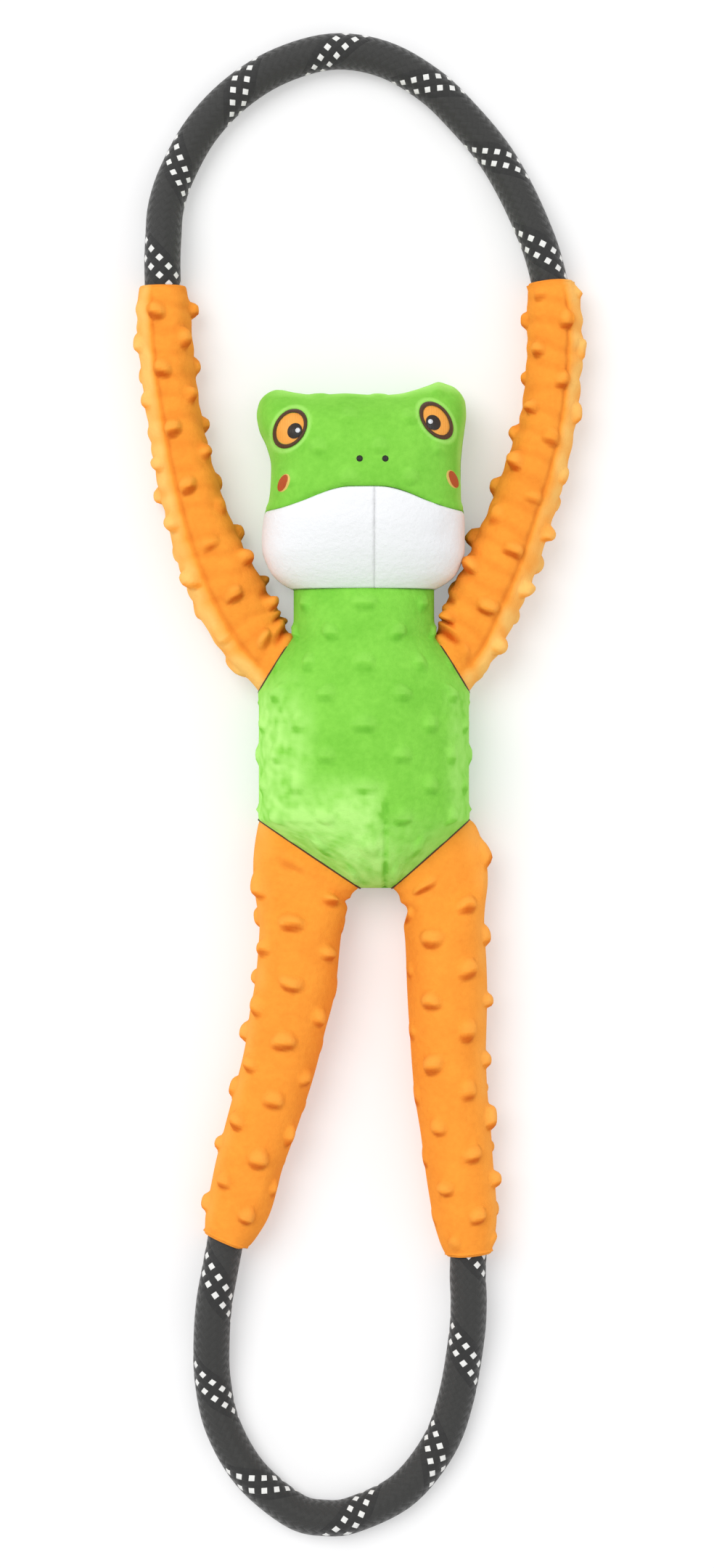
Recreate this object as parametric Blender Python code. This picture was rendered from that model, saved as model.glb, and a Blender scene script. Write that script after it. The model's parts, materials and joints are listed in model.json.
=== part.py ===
"""A plush frog tug toy, lying on its back with its head towards +Y. Metres, +Z up.

One rope runs through arms, torso and legs, and stands out as a hand loop at each end.
"""

import math

import bmesh
import bpy
import numpy as np
from mathutils import Matrix, Vector

for leftover in list(bpy.data.objects):
    bpy.data.objects.remove(leftover, do_unlink=True)

# Cloth, the gaps between pieces, and the floor that the toy lies on
cloth = 0.0015
gap = 0.0003
filling_gap = 0.0008
floor_cut = 0.0005
seam_height = 0.016
overrun = 0.006
ring_points = 20
limb_ring_points = 12
thinnest_share = 0.45
closed_share = 0.97
filled_rise = 0.006
crowding_share = 0.33
round_share = 1

# Rope, and how far a loop's hinge lies beyond the mouth of a sleeve
rope_diameter = 0.015
rope_clearance = 0.0005
rope_setback = 0.015
rope_floor_cut_share = 0.1

# Torso: half widths at the neck, the sides and the blunt tip between the legs,
# and how far below the neck its side seams turn
torso_length = 0.123
torso_above_share = 0.6535
torso_offset = 0.0018
torso_rise = 0.036
neck_half_width = 0.029
torso_half_width = 0.0434
tip_half_width = 0.0066
tip_shift = 0.005
shoulder_drop = 0.0192
side_drop = 0.0423
hip_drop = 0.0948
torso_stations = 14
torso_roundness_share = 0.87
torso_rise_shares = (
    (0, 0.5), (0.1, 0.62), (0.2, 0.74), (0.35, 0.93), (0.55, 1), (0.7, 0.98),
    (0.8, 0.86), (0.9, 0.6), (1, 0.3),
)

# What meets at a hinge is no thicker than this lip at the hinge, and opens at this slope
hinge_lip = 0.0006
hinge_slope_share = 1.55
neck_setback = 0.0004
sleeve_lip_share = 0.5
lining_lip_share = 0.25
filling_lip_share = 0.125

# Head
head_length = 0.0855
head_half_width = 0.0431
head_rise = 0.040
head_lean = -0.0019
head_lean_share = 0.8
head_stations = 16
head_filling_short = 0.0045
head_roundness_share = 0.77
head_width_shares = (
    (0, 0.672), (0.028, 0.79), (0.081, 0.875), (0.151, 0.934), (0.256, 0.965), (0.4, 0.968),
    (0.56, 0.957), (0.66, 0.965), (0.74, 0.985), (0.82, 1), (0.9, 0.98), (0.94, 0.93),
    (0.965, 0.84), (0.985, 0.68), (1, 0.42),
)
head_rise_shares = (
    (0, 0.3), (0.08, 0.55), (0.2, 0.82), (0.35, 0.97), (0.5, 1), (0.65, 0.98), (0.8, 0.89),
    (0.88, 0.77), (0.94, 0.6), (0.98, 0.38), (1, 0.12),
)

# The chin panel's upper seam is a shallow arch; its middle seam lies right of the head's middle
chin_side_share = 0.39
chin_middle_share = 0.512
chin_seam_share = 0.13
chin_arch_points = 12
chin_reach_share = 1.2

# Face pieces, each a stitched patch of this thickness
patch = 0.0008
small_patch = 0.0025
patch_points = 14
patch_ring_shares = (1, 0.55, 0.06)
eye_across_shares = (-0.672, 0.739)
eye_up_shares = (0.786, 0.825)
eye_tilts_deg = (-26, 30)
eye_half_width = 0.0071
eye_half_height = 0.0084
eye_outline = 0.0013
pupil_half_width = 0.0030
pupil_half_height = 0.0035
pupil_across_shares = (0.28, -0.19)
pupil_down_share = 0.14
highlight_radius = 0.001
highlight_share = 0.42
nostril_radius = 0.0013
nostril_across_shares = (0.0, 0.25)
nostril_up_share = 0.63
cheek_half_width = 0.0021
cheek_half_height = 0.004
cheek_across_shares = (-0.725, 0.88)
cheek_up_shares = (0.516, 0.537)
cheek_tilts_deg = (-24, 24)

# Sleeves: half widths and heights along each limb as shares, from the body's seam to the mouth
limb_stations = 14
limb_turn_share = 0.13
limb_roundness_share = 0.93
limb_flare_deg = 42
unfilled_stations = 2
thinnest_filling = 0.0008
fine_points = 200
curve_steps = 16
arm_half_width = 0.0142
arm_width_shares = (
    (0, 1), (0.1, 1), (0.27, 1), (0.4, 0.92), (0.55, 0.87), (0.7, 0.8), (0.92, 0.79), (0.97, 0.72),
    (1, 0.64),
)
arm_rise_shares = ((0, 0.8), (0.08, 0.8), (0.25, 0.95), (1, 1))
arm_height_shares = ((0, 1), (0.3, 0.86), (0.6, 0.78), (0.9, 0.74), (1, 0.72))
leg_half_width = 0.0203
leg_width_shares = (
    (0, 1.1), (0.1, 1), (0.2, 0.89), (0.35, 0.86), (0.5, 0.79), (0.6, 0.76), (0.75, 0.71),
    (0.9, 0.65), (0.96, 0.56), (1, 0.445),
)
leg_rise_shares = ((0, 0.55), (0.1, 0.58), (0.22, 0.85), (0.5, 0.9), (0.9, 0.97), (1, 1))
leg_height_shares = ((0, 1), (0.5, 0.9), (0.85, 0.78), (1, 0.72))

# The rope's route inside each limb, from the middle of the limb's seam with the torso
left_arm_route = (
    (-0.0089, 0.0113), (-0.0182, 0.0263), (-0.0251, 0.0413), (-0.0308, 0.0563), (-0.0350, 0.0713),
    (-0.0386, 0.0863), (-0.0416, 0.1013), (-0.0440, 0.1163), (-0.0456, 0.1313), (-0.0467, 0.1463),
    (-0.0471, 0.1586),
)
right_arm_route = (
    (0.0069, 0.0107), (0.0138, 0.0257), (0.0204, 0.0407), (0.0264, 0.0557), (0.0315, 0.0707),
    (0.0360, 0.0857), (0.0396, 0.1007), (0.0417, 0.1157), (0.0426, 0.1307), (0.0425, 0.1457),
    (0.0410, 0.1589),
)
left_leg_route = (
    (-0.0029, -0.0165), (-0.0047, -0.0315), (-0.0068, -0.0540), (-0.0098, -0.0690),
    (-0.0125, -0.0840), (-0.0164, -0.0990), (-0.0207, -0.1140), (-0.0250, -0.1290),
    (-0.0287, -0.1440), (-0.0325, -0.1545), (-0.0352, -0.1608),
)
right_leg_route = (
    (0.0039, -0.0165), (0.0063, -0.0315), (0.0072, -0.0540), (0.0075, -0.0690), (0.0078, -0.0840),
    (0.0087, -0.0990), (0.0105, -0.1140), (0.0120, -0.1290), (0.0138, -0.1440), (0.0151, -0.1575),
    (0.0161, -0.1665),
)

# Hand loops: their reach beyond the hinge, and their route as shares of the span and the reach
loop_hinge_ahead = 0.0081
upper_loop_reach = 0.0876
lower_loop_reach = 0.1011
upper_loop_leans = (0, -0.0025)
lower_loop_leans = (-0.0023, -0.0006)
loop_points = 40
upper_loop_shares = (
    (0.002, 0.12), (0.008, 0.26), (0.036, 0.42), (0.099, 0.625), (0.19, 0.80), (0.305, 0.93),
    (0.445, 1.0), (0.58, 0.963), (0.70, 0.84), (0.79, 0.685), (0.87, 0.51), (0.93, 0.32), (0.978, 0.12),
)
lower_loop_shares = (
    (-0.019, 0.115), (-0.03, 0.26), (-0.027, 0.43), (0.015, 0.625), (0.125, 0.82), (0.30, 0.968),
    (0.425, 1.0), (0.545, 0.985), (0.74, 0.885), (0.885, 0.70), (0.955, 0.50), (0.995, 0.26),
    (1.004, 0.115),
)
loop_settle_share = 0.45
ball_steps_deg = (8, 26, 45, 62, 78)

# Inside the torso: the rope's two runs, the band where its ends join, and the squeaker
torso_rope_rise = 0.003
torso_rope_bow = 0.002
torso_rope_points = 7
torso_rope_step = 12
band_length = 0.026
band_wall = 0.0012
squeaker_radius = 0.017
squeaker_height = 0.013
squeaker_drop = 0.066
squeaker_depth = 0.006
reed_radius = 0.0045
reed_height = 0.008
reed_hole_radius = 0.0012
round_points = 24

# Colours: linear red, green and blue
green = (0.24, 0.60, 0.06)
orange = (1.0, 0.35, 0.02)
white = (0.86, 0.86, 0.88)
black = (0.012, 0.012, 0.012)
brown = (0.09, 0.035, 0.012)
filling_white = (0.8, 0.8, 0.76)
rubber_white = (0.75, 0.75, 0.75)

neck_y = torso_above_share * torso_length
tip_y = neck_y - torso_length
shoulder_y = neck_y - shoulder_drop
rope_radius = rope_diameter / 2
bore_radius = rope_radius + rope_clearance


def material(name, colour, roughness):
    made = bpy.data.materials.new(name)
    made.use_nodes = True
    shader = made.node_tree.nodes["Principled BSDF"]
    shader.inputs["Base Color"].default_value = (*colour, 1)
    shader.inputs["Roughness"].default_value = roughness
    shader.inputs["Metallic"].default_value = 0
    return made


def eased(table, share):
    """The value at a share along a table of (share, value), on a curve that doesn't overshoot."""
    places = [row[0] for row in table]
    values = [row[1] for row in table]
    slopes = np.diff(values) / np.diff(places)
    ends = [slopes[0]]
    for before, after in zip(slopes[:-1], slopes[1:]):
        ends.append(0 if before * after <= 0 else 2 * before * after / (before + after))
    ends.append(slopes[-1])
    share = min(max(share, places[0]), places[-1])
    i = min(int(np.searchsorted(places, share, side="right")) - 1, len(places) - 2)
    width = places[i + 1] - places[i]
    t = (share - places[i]) / width
    low = values[i] * (1 + 2 * t) * (1 - t) ** 2 + width * ends[i] * t * (1 - t) ** 2
    return low + values[i + 1] * t * t * (3 - 2 * t) + width * ends[i + 1] * t * t * (t - 1)


def smooth_curve(points, count):
    """Evenly spaced points on a smooth curve through the points given."""
    points = np.array(points, float)
    padded = np.vstack([2 * points[0] - points[1], points, 2 * points[-1] - points[-2]])
    fine = []
    for a, b, c, d in zip(padded[:-3], padded[1:-2], padded[2:-1], padded[3:]):
        for t in np.arange(0, 1, 1 / curve_steps):
            fine.append(
                b + t * (c - a) / 2
                + t * t * (2 * a - 5 * b + 4 * c - d) / 2
                + t ** 3 * (3 * b - 3 * c + d - a) / 2
            )
    fine = np.array(fine + [points[-1]])
    run = np.concatenate([[0], np.cumsum(np.linalg.norm(np.diff(fine, axis=0), axis=1))])
    places = np.linspace(0, run[-1], count)
    return np.stack([np.interp(places, run, fine[:, k]) for k in range(3)], axis=1)


def ring(centre, across, half_width, rise, depth, roundness, count, arc=(0, 2 * math.pi)):
    """Points of a section: rise above the centre, depth below it, never under the floor.

    A roundness of 1 makes an ellipse, and less makes it squarer.
    """
    start, end = arc
    closed = end - start > math.pi + 1
    angles = np.linspace(start, end, count + closed)[: count]
    points = []
    for angle in angles:
        wide = math.copysign(abs(math.cos(angle)) ** roundness, math.cos(angle))
        high = math.copysign(abs(math.sin(angle)) ** roundness, math.sin(angle))
        point = Vector(centre) + Vector(across) * half_width * wide
        point.z += high * (rise if high > 0 else depth)
        point.z = max(point.z, 0)
        points.append(point)
    return points


def skin(bm, rings):
    """Faces between each ring of vertices and the next."""
    for one, two in zip(rings[:-1], rings[1:]):
        for i in range(len(one)):
            j = (i + 1) % len(one)
            bm.faces.new((one[i], one[j], two[j], two[i]))


def add_object(name, bm, finish, joint=None):
    """A mesh object from a bmesh in world places. Its origin is its joint's."""
    bmesh.ops.triangulate(bm, faces=bm.faces, quad_method="SHORT_EDGE")
    bmesh.ops.recalc_face_normals(bm, faces=bm.faces)
    mesh = bpy.data.meshes.new(name)
    bm.to_mesh(mesh)
    bm.free()
    return place(name, mesh, finish, joint)


def place(name, mesh, finish, joint=None):
    mesh.materials.clear()
    mesh.materials.append(finish)
    mesh.shade_smooth()
    mesh.set_sharp_from_angle(angle=math.radians(50))
    made = bpy.data.objects.new(name, mesh)
    bpy.context.scene.collection.objects.link(made)
    if joint:
        mesh.transform(Matrix.Translation(-joint.matrix_world.translation))
        made.parent = joint
    return made


def add_joint(name, location, parent=None):
    """An empty on a joint's axis, which carries the pieces that turn there."""
    made = bpy.data.objects.new(name, None)
    bpy.context.scene.collection.objects.link(made)
    made.location = location
    if parent:
        made.location = Vector(location) - parent.matrix_world.translation
        made.parent = parent
    bpy.context.view_layer.update()
    return made


def solid(name, rings, finish, joint=None):
    """A closed piece through its rings, capped at both ends."""
    bm = bmesh.new()
    made = [[bm.verts.new(point) for point in points] for points in rings]
    skin(bm, made)
    bm.faces.new(made[0])
    bm.faces.new(made[-1])
    return add_object(name, bm, finish, joint)


def sleeve(name, outer, inner, finish, joint=None):
    """An open-ended sleeve between outer rings and inner rings."""
    bm = bmesh.new()
    outside = [[bm.verts.new(point) for point in points] for points in outer]
    inside = [[bm.verts.new(point) for point in points] for points in inner]
    skin(bm, outside + inside[::-1] + outside[:1])
    return add_object(name, bm, finish, joint)


def cutter(name, bm):
    """A helper that a Boolean cuts with. It isn't part of the toy."""
    bmesh.ops.recalc_face_normals(bm, faces=bm.faces)
    mesh = bpy.data.meshes.new(name)
    bm.to_mesh(mesh)
    bm.free()
    made = bpy.data.objects.new(name, mesh)
    bpy.context.scene.collection.objects.link(made)
    made.hide_render = True
    made.display_type = "WIRE"
    return made


def boolean(target, operation, other):
    made = target.modifiers.new(other.name, "BOOLEAN")
    made.operation = operation
    made.object = other
    made.solver = "EXACT"


def cylinder(bm, centre, radius, height):
    bmesh.ops.create_cone(
        bm, cap_ends=True, segments=round_points, radius1=radius, radius2=radius, depth=height,
        matrix=Matrix.Translation(centre),
    )


def rope_curve(name, points, diameter, resolution, radii=None):
    data = bpy.data.curves.new(name, "CURVE")
    data.dimensions = "3D"
    data.bevel_depth = diameter / 2
    data.bevel_resolution = resolution
    data.use_fill_caps = True
    line = data.splines.new("POLY")
    line.points.add(len(points) - 1)
    for k, point in enumerate(points):
        line.points[k].co = (*point, 1)
        line.points[k].radius = 1 if radii is None else radii[k]
    made = bpy.data.objects.new(name, data)
    bpy.context.scene.collection.objects.link(made)
    return made


def mesh_of(curve):
    """The curve's tube as a mesh of its own, and the curve removed."""
    bpy.context.view_layer.update()
    graph = bpy.context.evaluated_depsgraph_get()
    mesh = bpy.data.meshes.new_from_object(curve.evaluated_get(graph))
    mesh.name = curve.name
    bpy.data.objects.remove(curve)
    return mesh


def rope(name, points, joint=None, radii=None, mouth=None):
    """A run of rope, cut flat where it lies on the floor and at the mouth of its sleeve."""
    mesh = mesh_of(rope_curve(name, points, rope_diameter, 3, radii))
    for vertex in mesh.vertices:
        vertex.co.z = max(vertex.co.z, 0)
        if mouth:
            vertex.co = within(vertex.co.copy(), mouth)
    return place(name, mesh, rope_black, joint)


def half_width_at(drop):
    """The torso's half width below the neck. Its seams with the limbs are straight."""
    drops = (0, shoulder_drop, side_drop, hip_drop, torso_length)
    widths = (neck_half_width, neck_half_width, torso_half_width, torso_half_width, tip_half_width)
    return float(np.interp(drop, drops, widths))


def torso_middle(drop):
    return torso_offset + tip_shift * max(0, drop - hip_drop) / (torso_length - hip_drop)


def torso_section(drop):
    """The torso's section at a drop below the neck: centre, half width, rise and depth."""
    usual = torso_rise * eased(torso_rise_shares, drop / torso_length)
    rise = min(usual, hinge_lip + hinge_slope_share * min(drop, torso_length - drop))
    centre = (torso_middle(drop), neck_y - max(drop, neck_setback), seam_height)
    return centre, half_width_at(drop), rise, min(rise, seam_height + floor_cut)


def head_section(up):
    """The head's section at a height above the neck: centre, half width, rise and depth."""
    share = up / head_length
    rise = min(head_rise * eased(head_rise_shares, share), hinge_lip + hinge_slope_share * up)
    middle = torso_offset + head_lean * min(share / head_lean_share, 1)
    centre = (middle, neck_y + max(up, neck_setback), seam_height)
    half = head_half_width * eased(head_width_shares, share)
    return centre, half, rise, min(rise, seam_height + floor_cut)


def section_ring(section, roundness, less=0, arc=(0, 2 * math.pi), lift=0, closing=0):
    """A section's ring, drawn in by less, or by the closing share of its size where it closes an end."""
    (x, y, z), half, rise, depth = section
    count = ring_points if arc[1] - arc[0] > math.pi + 1 else ring_points // 2 + 1
    less = max(min(less, rise * thinnest_share), rise * closing)
    side = half - max(less, half * closing)
    return ring((x, y, z + lift), (1, 0, 0), side, rise - less, depth - less, roundness, count, arc)


def even_places(length, count, turns=()):
    """Places along a length, closer near its ends, and one at each turn of the outline."""
    places = [length * (1 - math.cos(math.pi * k / count)) / 2 for k in range(count + 1)]
    near = length / count * crowding_share
    return sorted([p for p in places if all(abs(p - turn) > near for turn in turns)] + list(turns))


def panel(name, sections, roundness, front, finish, joint=None, closings=None):
    """A front or back half of a stuffed shell. Its edge lies half a gap from the other half's."""
    arc = (0, math.pi) if front else (math.pi, 2 * math.pi)
    lift = gap / 2 if front else -gap / 2
    rings = []
    for k, section in enumerate(sections):
        closing = closings[k] if closings else 0
        outside = section_ring(section, roundness, 0, arc, lift)
        rings.append(outside + section_ring(section, roundness, cloth, arc, lift, closing)[::-1])
    return solid(name, rings, finish, joint)


def seated(point, seat, margin, lip):
    """A limb's point drawn in towards its hinge, so that it turns in its seat clear of the torso."""
    corner_x, axis_y, slope, side, forward = seat
    less = margin * math.hypot(1, slope)
    reach = slope * side * (point.x - corner_x)
    along = forward * (point.y - axis_y)
    high = abs(point.z - seam_height)
    if along < 0:
        shrink = min(1, max(reach - less, lip) / math.hypot(along, high))
        along *= shrink
        high *= shrink
    else:
        opening = max(reach, along * math.tan(math.radians(limb_flare_deg)))
        high = min(high, max(opening - less, lip))
    z = seam_height + math.copysign(high, point.z - seam_height)
    return Vector((point.x, axis_y + forward * along, z))


def limb_sections(inner, outer, route, half_width, tables):
    """A limb's sections from its seam with the torso to its mouth.

    Each is a centre, the direction across, the half width, the rise, the depth, and the direction
    square to the rope.
    """
    width_shares, rise_shares, height_shares = tables
    inner, outer = np.array(inner), np.array(outer)
    middle = (inner + outer) / 2
    seam_half = np.linalg.norm(outer - inner) / 2
    seam_across = (outer - inner) / (2 * seam_half)
    through = [(*middle, 0)] + [(*(middle + offset), 0) for offset in route]
    fine = smooth_curve(through, fine_points)
    sections = []
    for share in even_places(1, limb_stations):
        at = share * (fine_points - 1)
        centre = np.array([np.interp(at, range(fine_points), fine[:, k]) for k in (0, 1)])
        near = min(max(int(round(at)), 1), fine_points - 2)
        ahead = fine[near + 1][:2] - fine[near - 1][:2]
        square = np.array((-ahead[1], ahead[0])) / np.linalg.norm(ahead)
        square *= math.copysign(1, square @ seam_across)
        turn = min(share / limb_turn_share, 1)
        turn = turn * turn * (3 - 2 * turn)
        across = seam_across * (1 - turn) + square * turn
        across = across / np.linalg.norm(across)
        usual = half_width * eased(width_shares, share)
        height = seam_height * eased(height_shares, share)
        rise = usual * eased(rise_shares, share)
        side = seam_half * (1 - turn) + usual * turn
        depth = min(rise, height + floor_cut)
        sections.append(((*centre, height), (*across, 0), side, rise, depth, (*square, 0)))
    return sections


def limb_ring(section, less, seat, margin, lip, mouth):
    """A ring of a limb, drawn in by less but not into the rope's bore, kept in its seat and behind its mouth."""
    centre, across, side, rise, depth, _ = section
    sizes = [max(size - less, bore_radius) for size in (side, rise, depth)]
    points = ring(centre, across, *sizes, limb_roundness_share, limb_ring_points)
    return [within(seated(point, seat, margin, lip), mouth) for point in points]


def within(point, mouth):
    """The point, brought back to the plane of the limb's mouth if it lies beyond."""
    plane, forward = mouth
    point.y = forward * min(forward * point.y, forward * plane)
    return point


def bore_ring(section, radius, mouth):
    points = ring(section[0], section[5], radius, radius, radius, round_share, limb_ring_points)
    return [within(point, mouth) for point in points]


def limb(side, kind, sections, seat, mouth, joint):
    """A limb's cloth sleeve, its filling and the rope inside it."""
    outer = [limb_ring(s, 0, seat, gap, hinge_lip * sleeve_lip_share, mouth) for s in sections]
    inner = [limb_ring(s, cloth, seat, gap + cloth, hinge_lip * lining_lip_share, mouth) for s in sections]
    sleeve(f"{side}_{kind}_sleeve", outer, inner, orange_plush, joint)
    less = cloth + filling_gap
    packed = [s for s in sections[unfilled_stations:] if s[3] - less > bore_radius + thinnest_filling]
    outside = [limb_ring(s, less, seat, less + gap, hinge_lip * filling_lip_share, mouth) for s in packed]
    bored = [bore_ring(s, bore_radius, mouth) for s in packed]
    sleeve(f"{side}_{kind}_filling", outside, bored, filling, joint)


def limb_rope(side, kind, sections, end, mouth, joint):
    """The rope inside a limb, out to the plane of the sleeves' mouths."""
    plane, forward = mouth
    points = [s[0] for s in sections[unfilled_stations:]]
    if abs(end[1] - points[-1][1]) > gap:
        points.append(end)
    rope(f"{side}_{kind}_rope", points, joint, mouth=mouth)


def loop_points_of(left, right, reach, forward, shares):
    """A hand loop's centreline between its two hinge points, settling to the floor as it leaves them."""
    low = rope_radius * (1 - 2 * rope_floor_cut_share)
    span = right[0] - left[0]
    route = [(0, 0)] + list(shares) + [(1, 0)]
    points = []
    for across, ahead in route:
        settled = min(ahead / loop_settle_share, 1)
        settled = settled * settled * (3 - 2 * settled)
        height = left[2] + (low - left[2]) * settled
        points.append((left[0] + across * span, left[1] + forward * ahead * reach, height))
    return smooth_curve(points, loop_points)


def hand_loop(name, left, right, reach, forward, shares, joint):
    """A loop of rope whose ends are half balls round its hinge."""
    middle = loop_points_of(left, right, reach, forward, shares)
    angles = [math.radians(a) for a in ball_steps_deg]
    points, radii = [], []
    for a in angles:
        points.append(np.array(left) - (0, forward * rope_radius * math.cos(a), 0))
        radii.append(math.sin(a))
    points += list(middle)
    radii += [1] * len(middle)
    for a in reversed(angles):
        points.append(np.array(right) - (0, forward * rope_radius * math.cos(a), 0))
        radii.append(math.sin(a))
    return rope(name, points, joint, radii)


def face_height(x, y):
    (middle, _, _), half, rise, _ = head_section(y - neck_y)
    u = min(abs(x - middle) / half, 1)
    power = 2 / head_roundness_share
    return seam_height + gap / 2 + rise * (1 - u ** power) ** (1 / power)


def face_place(across_share, up_share):
    """A place on the face, as shares of the head's half width and length."""
    return torso_offset + head_lean + across_share * head_half_width, neck_y + up_share * head_length


def patch_ring(x, y, half_width, half_height, tilt_deg, lift, count):
    tilt = math.radians(tilt_deg)
    points = []
    for k in range(count):
        angle = 2 * math.pi * k / count
        wide, high = half_width * math.cos(angle), half_height * math.sin(angle)
        px = x + wide * math.cos(tilt) - high * math.sin(tilt)
        py = y + wide * math.sin(tilt) + high * math.cos(tilt)
        points.append(Vector((px, py, face_height(px, py) + lift)))
    return points


def face_patch(name, x, y, half_width, half_height, tilt_deg, level, finish, rim=0):
    """A stitched patch that follows the face, one of a stack of levels. A rim makes it a ring of that width."""
    low = gap + level * (patch + gap)
    count = patch_points if half_width > small_patch else patch_points // 2
    sizes = patch_ring_shares if not rim else (1, 1 - rim / half_width)
    under = [(low, size) for size in sizes[::-1]]
    over = [(low + patch, size) for size in sizes]
    rings = []
    for lift, size in under + over:
        rings.append(patch_ring(x, y, half_width * size, half_height * size, tilt_deg, lift, count))
    if not rim:
        return solid(name, rings, finish, neck_joint)
    return sleeve(name, rings[1:3], [rings[0], rings[3]], finish, neck_joint)


rope_black = material("rope_black", black, 0.8)
green_plush = material("green_plush", green, 0.9)
orange_plush = material("orange_plush", orange, 0.9)
white_plush = material("white_plush", white, 0.9)
filling = material("filling", filling_white, 1.0)
dark_thread = material("dark_thread", brown, 0.7)
black_thread = material("black_thread", black, 0.6)
orange_thread = material("orange_thread", orange, 0.7)
white_thread = material("white_thread", white, 0.7)
rubber = material("squeaker_rubber", rubber_white, 0.5)


# Torso: its shell, and its seams with the limbs as inner and outer corners
torso_places = even_places(torso_length, torso_stations, (shoulder_drop, side_drop, hip_drop))
torso_sections = [torso_section(drop) for drop in torso_places]
panel("torso_front_panel", torso_sections, torso_roundness_share, True, green_plush)
panel("torso_back_panel", torso_sections, torso_roundness_share, False, green_plush)
torso_filled = [s for s in torso_sections if s[2] > filled_rise]
torso_filling = solid(
    "torso_filling", [section_ring(s, torso_roundness_share, cloth + filling_gap) for s in torso_filled], filling
)

seams = {}
for side, sign in (("left", -1), ("right", 1)):
    shoulder = (
        (torso_offset + sign * neck_half_width, shoulder_y),
        (torso_offset + sign * torso_half_width, neck_y - side_drop),
    )
    hip = (
        (torso_offset + tip_shift + sign * tip_half_width, tip_y),
        (torso_offset + sign * torso_half_width, neck_y - hip_drop),
    )
    seams[side] = {"arm": shoulder, "leg": hip}

# The rope's two runs through the torso, the band over its joined ends, and the squeaker
for side, sign in (("left", -1), ("right", 1)):
    top = np.mean(seams[side]["arm"], axis=0)
    bottom = np.mean(seams[side]["leg"], axis=0)
    route = []
    for share in np.linspace(0, 1, torso_rope_points):
        x, y = top + (bottom - top) * share
        swell = math.sin(math.pi * share)
        route.append((x - sign * torso_rope_bow * swell, y, seam_height + torso_rope_rise * swell))
    path = smooth_curve(route, fine_points)
    run = np.linalg.norm(np.diff(path, axis=0), axis=1).sum()
    skip = int(fine_points * rope_setback / run)
    inside = path[skip: fine_points - skip: torso_rope_step]
    bore = mesh_of(rope_curve(f"{side}_bore", path[::torso_rope_step], 2 * bore_radius, 4))
    cut = bpy.data.objects.new(f"{side}_torso_bore", bore)
    bpy.context.scene.collection.objects.link(cut)
    cut.hide_render = True
    cut.display_type = "WIRE"
    boolean(torso_filling, "DIFFERENCE", cut)
    if side == "right":
        rope("right_torso_rope", inside)
        continue
    half = len(inside) // 2
    middle = inside[half]
    direction = inside[half + 1] - inside[half - 1]
    direction = direction / np.linalg.norm(direction)
    rope("left_torso_rope_upper", list(inside[:half]) + [middle - direction * gap / 2])
    rope("left_torso_rope_lower", [middle + direction * gap / 2] + list(inside[half + 1:]))
    across = (-direction[1], direction[0], 0)
    ends = [middle - direction * band_length / 2, middle + direction * band_length / 2]
    inner_radius = bore_radius
    outer_radius = inner_radius + band_wall
    outside = [ring(c, across, *(outer_radius,) * 3, round_share, ring_points) for c in ends]
    lining = [ring(c, across, *(inner_radius,) * 3, round_share, ring_points) for c in ends]
    sleeve("rope_joining_band", outside, lining, filling)
    room = [c + direction * gap * k for c, k in zip(ends, (-1, 1))]
    bm = bmesh.new()
    around = [ring(c, across, *(outer_radius + gap,) * 3, round_share, ring_points) for c in room]
    made = [[bm.verts.new(point) for point in points] for points in around]
    skin(bm, made)
    bm.faces.new(made[0])
    bm.faces.new(made[-1])
    boolean(torso_filling, "DIFFERENCE", cutter("band_room", bm))

squeaker_centre, _, belly_rise, _ = torso_section(squeaker_drop)
squeaker_top = seam_height + belly_rise - squeaker_depth
bulb_centre = Vector((squeaker_centre[0], squeaker_centre[1], squeaker_top - squeaker_height / 2))
bm = bmesh.new()
cylinder(bm, bulb_centre + Vector((0, 0, overrun / 2)), squeaker_radius + gap, squeaker_height + overrun + 2 * gap)
boolean(torso_filling, "DIFFERENCE", cutter("squeaker_pocket", bm))
bm = bmesh.new()
cylinder(bm, bulb_centre, squeaker_radius, squeaker_height)
bulb = add_object("squeaker_bulb", bm, rubber)
reed_centre = Vector((bulb_centre.x, bulb_centre.y, squeaker_top - reed_height / 2))
bm = bmesh.new()
cylinder(bm, reed_centre + Vector((0, 0, overrun / 2)), reed_radius + gap, reed_height + overrun + 2 * gap)
boolean(bulb, "DIFFERENCE", cutter("reed_socket", bm))
bm = bmesh.new()
cylinder(bm, reed_centre, reed_radius, reed_height)
reed = add_object("squeaker_reed", bm, white_plush)
bm = bmesh.new()
cylinder(bm, reed_centre, reed_hole_radius, reed_height + overrun)
boolean(reed, "DIFFERENCE", cutter("reed_hole", bm))

# Head: the neck's hinge, the shell and its filling
neck_joint = add_joint("neck_joint", (torso_offset, neck_y, seam_height))
head_places = even_places(head_length, head_stations)
head_places = head_places[:-1] + [head_length - cloth, head_length - cloth + gap, head_length]
head_places = sorted(set(head_places))
head_sections = [head_section(up) for up in head_places]
head_closings = [closed_share if up > head_length - cloth else 0 for up in head_places]
fronts = []
for name, finish in (("face_panel", green_plush), ("left_chin_panel", white_plush), ("right_chin_panel", white_plush)):
    fronts.append(panel(name, head_sections, head_roundness_share, True, finish, neck_joint, head_closings))
panel("head_back_panel", head_sections, head_roundness_share, False, green_plush, neck_joint, head_closings)
head_filled = [s for s in head_sections if s[2] > filled_rise and s[0][1] < neck_y + head_length - head_filling_short]
solid(
    "head_filling", [section_ring(s, head_roundness_share, cloth + filling_gap) for s in head_filled], filling, neck_joint
)


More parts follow.
